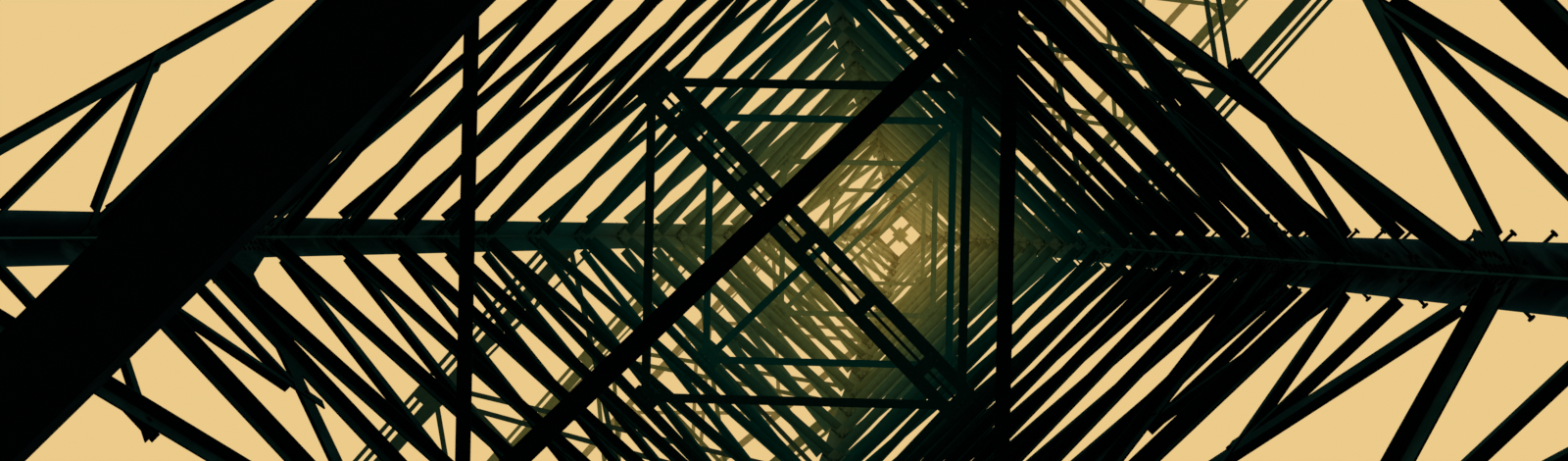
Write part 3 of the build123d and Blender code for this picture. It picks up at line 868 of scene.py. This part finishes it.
@dataclass(frozen=True)
class HexBolt:
    """A hexagon bolt as it shows on one side: washer, head or nut, and the thread's end."""

    washer_radius: float = 0.0115
    washer_thick: float = 0.0016
    radius: float = 0.0092
    height: float = 0.0075
    chamfer: float = 0.0012
    crown_share: float = 0.82
    stub_radius: float = 0.0048
    stub_height: float = 0.005

    def profile(self, stub: bool) -> np.ndarray:
        """Set out the bolt's profile from the washer's underside up.

        Args:
            stub: Whether the thread's end stands out, as on the nut's side.

        Returns:
            Rows of radius and height.
        """
        top = self.washer_thick + self.height
        rows = [
            (self.washer_radius, 0.0),
            (self.washer_radius, self.washer_thick),
            (self.radius, self.washer_thick),
            (self.radius, top - self.chamfer),
            (self.crown_share * self.radius, top),
        ]
        if stub:
            rows += [(self.stub_radius, top), (self.stub_radius, top + self.stub_height)]
        return np.array(rows)

    def through(self, shape: Shape, places: np.ndarray, low: np.ndarray | float, high: float) -> None:
        """Set a bolt through the steel at each place, its head on the low side and its nut on the high.

        Args:
            shape: The mesh to add to.
            places: N places, across and up on a face or in plan.
            low: Where the steel's low surface lies along the third direction.
            high: Where its high surface lies.
        """
        for base, way, stub in ((low, -OUTWARD, False), (high, OUTWARD, True)):
            centres = np.c_[places, np.broadcast_to(base, len(places))]
            shape.add(*turned(self.profile(stub), centres, way, HEX_SIDES))


@dataclass
class FaceDetail:
    """What a face carries beside its packed bars: standing flanges, lap plates, bolts and nuts."""

    body: Body
    levels: Levels
    finishes: Finishes
    bolt: HexBolt = field(default_factory=HexBolt)
    bolt_offset: float = 0.021
    flange_thick: float = 0.0045
    flange_share: float = 1.3
    short_width: float = 0.03
    short_height: float = 0.036
    short_past: float = 0.055
    short_start: float = 0.06
    lap_past: float = 0.085
    lap_on: float = 0.06
    lap_width: float = 0.052
    rail_width: float = 0.05
    rail_height: float = 0.058
    rail_start: float = 0.11
    clear: float = 0.003
    cluster_pitch: float = 0.042
    cluster_depths: tuple[float, float] = (0.05, 0.098)
    cluster_margin: float = 0.02
    tie_cluster: float = 0.15
    rail_depths: tuple[float, float, float] = (0.15, 0.19, 0.23)

    def rows(self) -> list[PanelRow]:
        """The rows of crossed bars whose flanges are packed with the tower."""
        lv = self.levels
        return [
            PanelRow(lv.belt + lv.row_start, lv.double_tie - lv.below_rail, count=5, width=0.058,
                     lap_share=0.15),
            PanelRow(lv.double_tie, lv.low_arm - lv.below_rail, count=2, width=0.048, lap_share=0.15),
        ]

    def upper_rows(self) -> list[PanelRow]:
        """The rows from the lowest crossarm up, whose bars are packed flat and get their flanges here."""
        lv = self.levels
        return [
            PanelRow(lv.low_arm + lv.row_start, lv.mid_arm, count=4, width=0.042),
            PanelRow(lv.mid_arm, lv.top_arm - lv.below_rail, count=4, width=0.034),
            PanelRow(lv.top_arm + lv.row_start, self.body.top - lv.rail / 2, count=6, width=0.027),
        ]

    def k_panels(self) -> list[KPanel]:
        """The two tall panels below the belt."""
        lv = self.levels
        return [KPanel(lv.tie, lv.knee), KPanel(lv.knee + lv.knee_spread, lv.belt_joint)]

    def upright(self, shape: Shape, starts: np.ndarray, ends: np.ndarray, width: float,
                reach: tuple[float, float]) -> None:
        """Carry a standing flange along the upper edge of each bar.

        The bars are first turned to run to the right, so that the outline's left edge is the upper one.

        Args:
            shape: The mesh to add to.
            starts: N places where the flanges begin, across and up on the face.
            ends: N places where they end.
            width: The bars' width.
            reach: The flange's lowest and highest place along the outward direction.
        """
        back = ends[:, :1] < starts[:, :1]
        near = np.where(back, ends, starts)
        far = np.where(back, starts, ends)
        pad = np.zeros(len(near))
        outline = box_outline(width / 2 - self.flange_thick, width / 2, *reach)
        shape.add(*carried(outline, np.c_[near, pad], np.c_[far, pad], OUTWARD))

    def row_flanges(self, shape: Shape, row: PanelRow) -> None:
        """The flanges of a row: the bar from the left leg has it outside, the other one inside.

        Args:
            shape: The mesh to add to.
            row: The row of panels.
        """
        starts, ends, sides = row.bars(self.body)
        along = unit(ends - starts)
        height = self.flange_share * row.width
        deep = 2 * self.body.bar_thick
        toe = self.body.leg_flange(row.low) + self.clear
        inner_end = self.body.leg_thick + deep + height + self.clear
        for which, depth, reach in ((-1, toe, (0.0, height)), (1, inner_end, (-deep - height, -deep))):
            pick = sides == which
            way = along[pick]
            near = starts[pick] + self.body.cut(starts[pick], way, row.width, depth) * way
            far = ends[pick] - self.body.cut(ends[pick], -way, row.width, depth) * way
            self.upright(shape, near, far, row.width, reach)

    def short_flanges(self, shape: Shape, joints: np.ndarray, places: np.ndarray,
                      past: np.ndarray) -> None:
        """The outer flanges of short bars, from their joint to the toe of the leg.

        Args:
            shape: The mesh to add to.
            joints: N joints on the long bars.
            places: N places on the legs.
            past: How far each flange starts before its joint, less than nothing where it starts after it.
        """
        way = unit(places - joints)
        near = joints - past[:, None] * way
        toe = self.body.leg_flange(float(places[0, 1])) + self.clear
        far = places - self.body.cut(places, -way, self.short_width, toe) * way
        self.upright(shape, near, far, self.short_width, (0.0, self.short_height))

    def lap_plates(self, shape: Shape, joints: np.ndarray, places: np.ndarray) -> None:
        """Square-cut plates on the inner side of the outer long bars, one along a short bar at each joint.

        Args:
            shape: The mesh to add to.
            joints: N joints on the outer long bars.
            places: N places on the legs that the short bars run to.
        """
        way = unit(places - joints)
        near = joints - self.lap_past * way
        far = joints + self.lap_on * way
        pad = np.zeros(len(joints))
        deep = self.body.bar_thick
        outline = box_outline(-self.lap_width / 2, self.lap_width / 2, -2 * deep, -deep)
        shape.add(*carried(outline, np.c_[near, pad], np.c_[far, pad], OUTWARD))

    def flanges(self, side: Side) -> None:
        """Every standing flange that isn't packed with the tower, and the lap plates.

        Args:
            side: The face.
        """
        shape = Shape()
        for row in self.upper_rows():
            self.row_flanges(shape, row)
        for panel in self.k_panels():
            joints, places, inner = panel.short_bars(self.body)
            # The second half of a tall panel's short bars is the slanting ones.
            slanting = ~inner & (np.arange(len(inner)) >= len(inner) // 2)
            self.lap_plates(shape, joints[slanting], places[slanting])
            self.short_flanges(shape, joints, places, np.where(inner, self.short_past, -self.short_start))
            middle, ends = panel.rail_halves(self.body)
            way = unit(ends - middle)
            inner_end = self.body.leg_thick + self.body.bar_thick + self.rail_height + self.clear
            far = ends - self.body.cut(ends, -way, self.rail_width, inner_end) * way
            reach = (-self.body.bar_thick - self.rail_height, -self.body.bar_thick)
            self.upright(shape, middle + self.rail_start * way, far, self.rail_width, reach)
        joints, places = BaseHalf().short_bars(self.body)
        self.short_flanges(shape, joints, places, np.full(len(joints), -self.short_start))
        shape.move(lambda points: self.body.on_face(points, side))
        shape.piece("flanges_face_" + side.name.lower(), self.finishes.by_slot[Slot.BRACE])

    def row_bolts(self, shape: Shape, row: PanelRow | KPanel) -> None:
        """Two bolts through the leg at each end of a bar, and one where each pair of bars crosses.

        The crossing lies at the share a / (a + b) of the way along a bar, with a and b the distances of
        its two ends from the middle of the face.

        Args:
            shape: The mesh to add to.
            row: The row of panels, or one tall panel.
        """
        starts, ends, sides = row.bars(self.body)
        step = self.bolt_offset * unit(ends - starts)
        places = np.concatenate([starts - step, starts + step, ends - step, ends + step])
        inner = -self.body.bar_thick * np.tile(np.where(sides > 0, 2.0, 1.0), 4)
        self.bolt.through(shape, places, inner, self.body.leg_outer)
        first = sides < 0
        wide, narrow = np.abs(starts[first, :1]), np.abs(ends[first, :1])
        crossings = starts[first] + wide / (wide + narrow) * (ends[first] - starts[first])
        self.bolt.through(shape, crossings, -2 * self.body.bar_thick, 0.0)

    def cluster(self, low: float, high: float) -> np.ndarray:
        """Two columns of places up both legs, staggered by half a pitch.

        Args:
            low: The height of the lowest row.
            high: The height that no row passes.

        Returns:
            The places, across and up on the face.
        """
        groups = []
        for column, depth in enumerate(self.cluster_depths):
            heights = np.arange(low + column * self.cluster_pitch / 2, high, self.cluster_pitch)
            groups += [self.body.leg_point(side, heights, depth) for side in (-1, 1)]
        return np.concatenate(groups)

    def gusset_bolts(self, shape: Shape) -> None:
        """Dense bolts where the rails and long bars meet the legs, and bolts along the rails' ends."""
        lv, margin = self.levels, self.cluster_margin
        for low, high in ((lv.tie + margin, lv.tie + self.tie_cluster),
                          (lv.knee - margin, lv.knee + lv.knee_spread + margin)):
            self.bolt.through(shape, self.cluster(low, high), -self.body.bar_thick, self.body.leg_outer)
        for level in (lv.tie, lv.belt):
            for side in (-1, 1):
                for depth in self.rail_depths:
                    place = self.body.leg_point(side, np.array([level - lv.belt_rail / 2]), depth)
                    self.bolt.through(shape, place, -self.body.bar_thick, 0.0)

    def bolts(self, side: Side) -> None:
        """Every bolt of a face.

        Args:
            side: The face.
        """
        shape = Shape()
        for row in (*self.k_panels(), *self.rows(), *self.upper_rows()):
            self.row_bolts(shape, row)
        for panel in self.k_panels():
            joints, places, _ = panel.short_bars(self.body)
            self.bolt.through(shape, once(joints), -2 * self.body.bar_thick, 0.0)
            self.bolt.through(shape, once(places), -self.body.bar_thick, self.body.leg_outer)
        joints, places = BaseHalf().short_bars(self.body)
        self.bolt.through(shape, once(joints), -self.body.bar_thick, 0.0)
        self.bolt.through(shape, once(places), -self.body.bar_thick, self.body.leg_outer)
        self.gusset_bolts(shape)
        shape.move(lambda points: self.body.on_face(points, side))
        shape.piece("bolts_face_" + side.name.lower(), self.finishes.bolt)

    def build(self) -> None:
        """Dress all four faces."""
        for side in Side:
            self.bolts(side)
            self.flanges(side)


@dataclass(frozen=True)
class Splice:
    """A joint of a leg: its height, its cover's length, and the thickness of plate inside the leg there."""

    level: float
    length: float
    plate: float


@dataclass
class LegDetail:
    """What the legs carry: step bolts on one of them, root fillets, cover plates and the foot's bolts."""

    body: Body
    finishes: Finishes
    bolt: HexBolt = field(default_factory=HexBolt)
    step_start: float = 2.555
    step_pitch: float = 0.1715
    step_depth: float = 0.068
    step_length: float = 0.086
    step_top: float = 0.3
    shank_radius: float = 0.0052
    cap_radius: float = 0.0115
    cap_thick: float = 0.006
    splices: tuple[Splice, ...] = (Splice(10.53, 0.72, 0.006), Splice(23.23, 0.4, 0.0))
    cover_thick: float = 0.008
    cover_margin: float = 0.008
    splice_pitch: float = 0.048
    splice_end: float = 0.035
    splice_depths: tuple[float, float] = (0.05, 0.03)
    root_radius: float = 0.005
    root_low: float = 0.3
    foot_plate: float = 0.34
    foot_centre: float = 0.052
    foot_top: float = 0.2802
    anchor_inset: float = 0.045
    anchor_radius: float = 0.011
    anchor_washer: tuple[float, float] = (0.034, 0.006)
    anchor_profile: tuple[tuple[float, float], ...] = (
        (1.75, 0.006), (1.75, 0.024), (1.5, 0.0255), (1.5, 0.0265), (1.75, 0.028),
        (1.75, 0.04), (1.5, 0.0415), (1.0, 0.0415), (1.0, 0.068), (0.75, 0.071),
    )

    def step_bolts(self) -> None:
        """Step bolts up the northeast leg, turn by turn on its two flanges.

        Each is a shank turned about the flange's outward direction, with a nut on both sides of the
        flange and a round cap at its end.
        """
        shape = Shape()
        heights = np.arange(self.step_start, self.body.top - self.step_top, self.step_pitch)
        shank = np.array([
            (self.shank_radius, 0.0),
            (self.shank_radius, self.step_length),
            (self.cap_radius, self.step_length),
            (self.cap_radius, self.step_length + self.cap_thick),
        ])
        parts = (
            (shank, self.body.leg_outer, OUTWARD, ROUND_SIDES),
            (self.bolt.profile(False), self.body.leg_outer, OUTWARD, HEX_SIDES),
            (self.bolt.profile(True), 0.0, -OUTWARD, HEX_SIDES),
        )
        for turn, (side, hand) in enumerate(((Side.NORTH, -1), (Side.EAST, 1))):
            spot = self.body.leg_point(hand, heights[turn::2], self.step_depth)
            for profile, base, way, sides in parts:
                points, faces = turned(profile, np.c_[spot, np.full(len(spot), base)], way, sides)
                shape.add(self.body.on_face(points, side), faces)
        shape.piece("step_bolts", self.finishes.bolt)

    def covers(self, corner: Corner) -> None:
        """Cover angles outside a leg's joints, and their bolts.

        Each cover is an L carried up along the leg's heel line. It laps the outside of both flanges
        and stops a margin short of their toes.

        Args:
            corner: The leg.
        """
        plates = Shape()
        bolts = Shape()
        t = self.cover_thick
        for splice in self.splices:
            low, high = splice.level - splice.length / 2, splice.level + splice.length / 2
            flange = self.body.leg_flange(high)
            reach = flange - self.cover_margin
            outline = np.array([(-t, -t), (reach, -t), (reach, 0.0), (0.0, 0.0), (0.0, reach), (-t, reach)])
            plates.add(*self.level_sweep(outline, self.heel(low, high)))
            rows = np.arange(low + self.splice_end, high - self.splice_end, self.splice_pitch)
            from_heel, from_toe = self.splice_depths
            ends = ((self.body.leg_outer + t, OUTWARD, True), (-splice.plate, -OUTWARD, False))
            for side, hand in ((0, -1), (-1, 1)):
                face = Side((side + corner.value) % len(Side))
                for column, depth in enumerate((from_heel, flange - from_toe)):
                    spot = self.body.leg_point(hand, rows + column * self.splice_pitch / 2, depth)
                    for base, way, stub in ends:
                        centres = np.c_[spot, np.full(len(rows), base)]
                        points, faces = turned(self.bolt.profile(stub), centres, way, HEX_SIDES)
                        bolts.add(self.body.on_face(points, face), faces)
        plates.move(lambda points: quarter_turned(points, corner.value))
        name = corner.name.lower()
        plates.piece("covers_" + name, self.finishes.by_slot[Slot.LEG])
        bolts.piece("cover_bolts_" + name, self.finishes.bolt)

    def heel(self, *heights: float) -> np.ndarray:
        """The southwest leg's heel at each height."""
        half = self.body.half(np.array(heights))
        return np.c_[-half, -half, heights]

    def root(self, corner: Corner) -> None:
        """The rolled root fillet that fills a leg's inner corner from foot to top.

        Its outline is the corner and a hollow quarter circle: (t + r - r * sin a, t + r - r * cos a), with
        t the leg's thickness, r the radius, and a from nothing to a right angle.

        Args:
            corner: The leg.
        """
        angle = np.linspace(0.0, QUARTER, 5)
        corner_point = np.full(2, self.body.leg_thick)
        hollow = corner_point + self.root_radius * (1 - np.c_[np.sin(angle), np.cos(angle)])
        shape = Shape()
        outline = np.concatenate([corner_point[None, :], hollow])
        shape.add(*self.level_sweep(outline, self.heel(self.root_low, self.body.top)))
        shape.move(lambda points: quarter_turned(points, corner.value))
        # The fillet's lighter paint is a painted highlight along the leg's inner corner.
        shape.piece("root_" + corner.name.lower(), self.finishes.root)

    def level_sweep(self, outline: np.ndarray, heel: np.ndarray) -> tuple[np.ndarray, list[np.ndarray]]:
        """Carry a level outline along the southwest heel: point = heel + (a, b, 0), so both laps lean."""
        points = heel[:, None, :] + np.c_[outline, np.zeros(len(outline))]
        return points, skin(1, *points.shape[:2])

    def anchors(self, corner: Corner) -> None:
        """Four anchor bolts with square washers and double nuts on a foot's base plate.

        The profile of the two nuts and the thread above them is given as rows of the radius, as a
        share of the bolt's, and the height.

        Args:
            corner: The leg.
        """
        shape = Shape()
        centre = -self.body.half(self.foot_top) + self.foot_centre
        reach = self.foot_plate / 2 - self.anchor_inset
        spots = np.c_[CORNERS * reach + centre, np.full(len(CORNERS), self.foot_top)]
        radius, thick = self.anchor_washer
        washer = np.array([(radius, 0.0), (radius, thick)])
        nuts = np.array(self.anchor_profile) * (self.anchor_radius, 1.0)
        shape.add(*turned(washer, spots, OUTWARD, SQUARE_SIDES))
        shape.add(*turned(nuts, spots, OUTWARD, HEX_SIDES))
        shape.move(lambda points: quarter_turned(points, corner.value))
        shape.piece("anchors_" + corner.name.lower(), self.finishes.bolt)

    def build(self) -> None:
        """Dress all four legs."""
        self.step_bolts()
        for corner in Corner:
            self.root(corner)
            self.covers(corner)
            self.anchors(corner)


@dataclass(frozen=True)
class ArmPlan:
    """An arm's underside, as far as its bolts need it."""

    name: str
    level: float
    reach: float
    chord: float


@dataclass
class FrameDetail:
    """The bolts of the plan frames, of the ties across the tower and of the arms' undersides."""

    body: Body
    levels: Levels
    finishes: Finishes
    bolt: HexBolt = field(default_factory=HexBolt)
    plate_half: float = 0.07
    plate_share: float = 0.7
    plate_row: float = 0.02
    plate_second: float = 0.052
    double_offset: float = 0.068
    batten_pitch: float = 0.43
    batten_bolt: float = 0.022
    arm_thick: float = 0.007
    arm_taper: float = 0.0787
    arm_panel: float = 1.1
    lacing_setback: float = 0.06
    end_plate: tuple[float, float] = (0.15, 0.09)
    end_plate_inset: float = 0.008
    end_plate_thick: float = 0.02
    end_bolt_margin: float = 0.02

    def frame_bolts(self, name: str, level: float) -> None:
        """Two rows of bolts in the plate at the middle of each face.

        Args:
            name: The frame's name.
            level: The height of its underside.
        """
        shape = Shape()
        reach = self.body.frame_reach(level)
        across = np.linspace(-self.plate_share, self.plate_share, 4) * self.plate_half
        first = np.c_[np.full(4, reach - self.plate_row), across]
        second = np.c_[np.full(2, reach - self.plate_second), across[1:3]]
        plate = np.concatenate([first, second])
        flat = np.c_[plate, np.zeros(len(plate))]
        spots = [quarter_turned(flat, side.value)[:, :2] for side in Side]
        self.bolt.through(shape, np.concatenate(spots), level, level + self.body.frame_thick)
        if level == self.levels.double_tie:
            self.batten_bolts(shape, reach, level)
        shape.piece("bolts_frame_" + name, self.finishes.bolt)

    def batten_bolts(self, shape: Shape, reach: float, level: float) -> None:
        """Two bolts at each end of the battens between the double tie's bars.

        Args:
            shape: The mesh to add to.
            reach: How far the bars reach.
            level: The height of their underside.
        """
        count = int(reach / self.batten_pitch)
        along = np.arange(-count, count + 1) * self.batten_pitch
        along = np.concatenate([along - self.batten_bolt, along + self.batten_bolt])
        for side in (-1, 1):
            spots = np.c_[np.full(len(along), side * self.double_offset), along]
            self.bolt.through(shape, spots, level, level + self.body.frame_thick)

    def arm_bolts(self, plan: ArmPlan) -> None:
        """A bolt at each joint of an arm's floor lacing, and four in each drilled end plate.

        The chord's middle line runs from the root, y = half + gap at x = half, and falls by the taper for
        each metre of reach; the joints lie at even shares of it, inside by half the chord's width.

        Args:
            plan: The arm's level, reach and chord.
        """
        half, gap = self.body.half(plan.level), self.body.gap
        root = np.array([self.body.half(plan.level - self.arm_thick) + gap, half + gap])
        tip = np.array([plan.reach, root[1] - self.arm_taper * (plan.reach - root[0])])
        panels = max(2, round((plan.reach - half) / self.arm_panel))
        setback = self.lacing_setback / float(np.linalg.norm(tip - root))
        shares = setback + (1 - setback) * np.arange(panels) / panels
        joints = root + shares[:, None] * (tip - root)
        joints[:, 1] -= plan.chord / 2 - self.arm_thick
        plate_length, plate_width = self.end_plate
        centre = np.array([plan.reach - self.end_plate_inset - plate_length / 2, tip[1] - plan.chord / 2])
        spread = np.array([plate_length, plate_width]) / 2 - self.end_bolt_margin
        corners = centre + CORNERS * spread
        for hand, quarters in (("east", 0), ("west", 2)):
            shape = Shape()
            for side in (-1, 1):
                mirror = np.array([1, side])
                self.bolt.through(shape, joints * mirror, plan.level - self.arm_thick, plan.level)
                self.bolt.through(shape, corners * mirror, plan.level - self.end_plate_thick, plan.level)
            shape.move(lambda points: quarter_turned(points, quarters))
            shape.piece(f"bolts_crossarm_{hand}_{plan.name}", self.finishes.bolt)

    def build(self) -> None:
        """Bolt every frame and every arm."""
        lv = self.levels
        for name, level in (("belt", lv.belt), ("double_tie", lv.double_tie), ("low_arms", lv.low_arm),
                            ("mid_arms", lv.mid_arm), ("top_arms", lv.top_arm)):
            self.frame_bolts(name, level)
        for plan in (ArmPlan("low", lv.low_arm, reach=3.5, chord=0.076),
                     ArmPlan("mid", lv.mid_arm, reach=4.05, chord=0.066),
                     ArmPlan("top", lv.top_arm, reach=3.5, chord=0.056)):
            self.arm_bolts(plan)


# The studio


@dataclass(frozen=True)
class Studio:
    """The pale floor, the plain soft light, the backdrop and the camera."""

    sky: Colour = (236, 203, 139)
    floor: Colour = (204, 200, 190)
    light_strength: float = 0.7
    sun_strength: float = 1.1
    sun_angle: float = 0.6
    sun_from: tuple[float, float, float] = (0.45, 0.35, 0.82)
    floor_size: float = 1200.0
    floor_roughness: float = 0.9
    floor_shine: float = 0.1
    clip: tuple[float, float] = (0.02, 300.0)
    focal_pixels: float = 2659.0
    place: tuple[float, float, float] = (0.7116, 0.5758, 0.8)
    lean_right: float = 0.078
    lean_up: float = 0.0027
    roll: float = -0.0205

    def set_world(self) -> None:
        """White light for everything, and the pale sky where the camera or a gloss looks at it."""
        world = bpy.data.worlds.new("sky")
        world.use_nodes = True
        bpy.context.scene.world = world
        nodes, links = world.node_tree.nodes, world.node_tree.links
        nodes.clear()
        lamp = nodes.new("ShaderNodeBackground")
        lamp.inputs["Color"].default_value = (1.0, 1.0, 1.0, 1.0)
        lamp.inputs["Strength"].default_value = self.light_strength
        seen = nodes.new("ShaderNodeBackground")
        seen.inputs["Color"].default_value = screen(*self.sky)
        path = nodes.new("ShaderNodeLightPath")
        share = path.outputs["Is Camera Ray"]
        for ray in ("Is Glossy Ray", "Is Transmission Ray"):
            either = nodes.new("ShaderNodeMath")
            either.operation = "MAXIMUM"
            links.new(share, either.inputs[0])
            links.new(path.outputs[ray], either.inputs[1])
            share = either.outputs[0]
        mix = nodes.new("ShaderNodeMixShader")
        for source, target in zip((share, lamp.outputs[0], seen.outputs[0]), mix.inputs):
            links.new(source, target)
        links.new(mix.outputs[0], nodes.new("ShaderNodeOutputWorld").inputs["Surface"])

    def set_floor(self) -> None:
        """A wide pale floor under the footings."""
        mesh = bpy.data.meshes.new("floor")
        corners = np.c_[CORNERS * self.floor_size / 2, np.zeros(len(CORNERS))]
        mesh.from_pydata(corners, [], [(0, 1, 2, 3)])
        floor = bpy.data.objects.new("floor", mesh)
        bpy.context.scene.collection.objects.link(floor)
        mat, net = Net.fresh("floor")
        net.shader.inputs["Base Color"].default_value = screen(*self.floor)
        net.shader.inputs["Roughness"].default_value = self.floor_roughness
        net.shader.inputs["Specular IOR Level"].default_value = self.floor_shine
        mesh.materials.append(mat)

    def set_sun(self) -> None:
        """One wide soft lamp from high on the northeast side."""
        lamp = bpy.data.lights.new("soft_sun", "SUN")
        lamp.energy = self.sun_strength
        lamp.angle = self.sun_angle
        holder = bpy.data.objects.new("soft_sun", lamp)
        holder.rotation_euler = Vector(self.sun_from).to_track_quat("Z", "Y").to_euler()
        bpy.context.scene.collection.objects.link(holder)

    def set_camera(self) -> None:
        """Look up from inside the foot, nearly straight at the zenith.

        The picture's right is the diagonal towards the northeast leg, and its top the diagonal towards
        the southeast leg.
        """
        right = Vector((1.0, 1.0, 0.0)).normalized()
        up = Vector((1.0, -1.0, 0.0)).normalized()
        ahead = (Vector((0.0, 0.0, 1.0)) - self.lean_right * right - self.lean_up * up).normalized()
        up = (up - up.dot(ahead) * ahead).normalized()
        side = ahead.cross(up)
        up, side = (
            np.cos(self.roll) * up + np.sin(self.roll) * side,
            np.cos(self.roll) * side - np.sin(self.roll) * up,
        )
        turn = Matrix((side, up, -ahead)).transposed().to_4x4()
        camera = bpy.data.cameras.new("camera")
        camera.sensor_width = SENSOR_WIDTH_MM
        camera.lens = self.focal_pixels * SENSOR_WIDTH_MM / IMAGE_WIDTH
        camera.clip_start, camera.clip_end = self.clip
        holder = bpy.data.objects.new("camera", camera)
        holder.matrix_world = Matrix.Translation(Vector(self.place)) @ turn
        bpy.context.scene.collection.objects.link(holder)
        bpy.context.scene.camera = holder

    def build(self) -> None:
        """Set the whole stage."""
        bpy.context.scene.view_settings.view_transform = "Standard"
        self.set_camera()
        self.set_world()
        self.set_floor()
        self.set_sun()
        LOG.info("the stage is set")


def main() -> None:
    """Build everything in order."""
    logging.basicConfig(level=logging.INFO, format="%(name)s: %(message)s")
    Studio().build()
    finishes = Finishes()
    finishes.dress_frame()
    body = Body()
    levels = Levels()
    FaceDetail(body, levels, finishes).build()
    LegDetail(body, finishes).build()
    FrameDetail(body, levels, finishes).build()


if __name__ == "__main__":
    main()
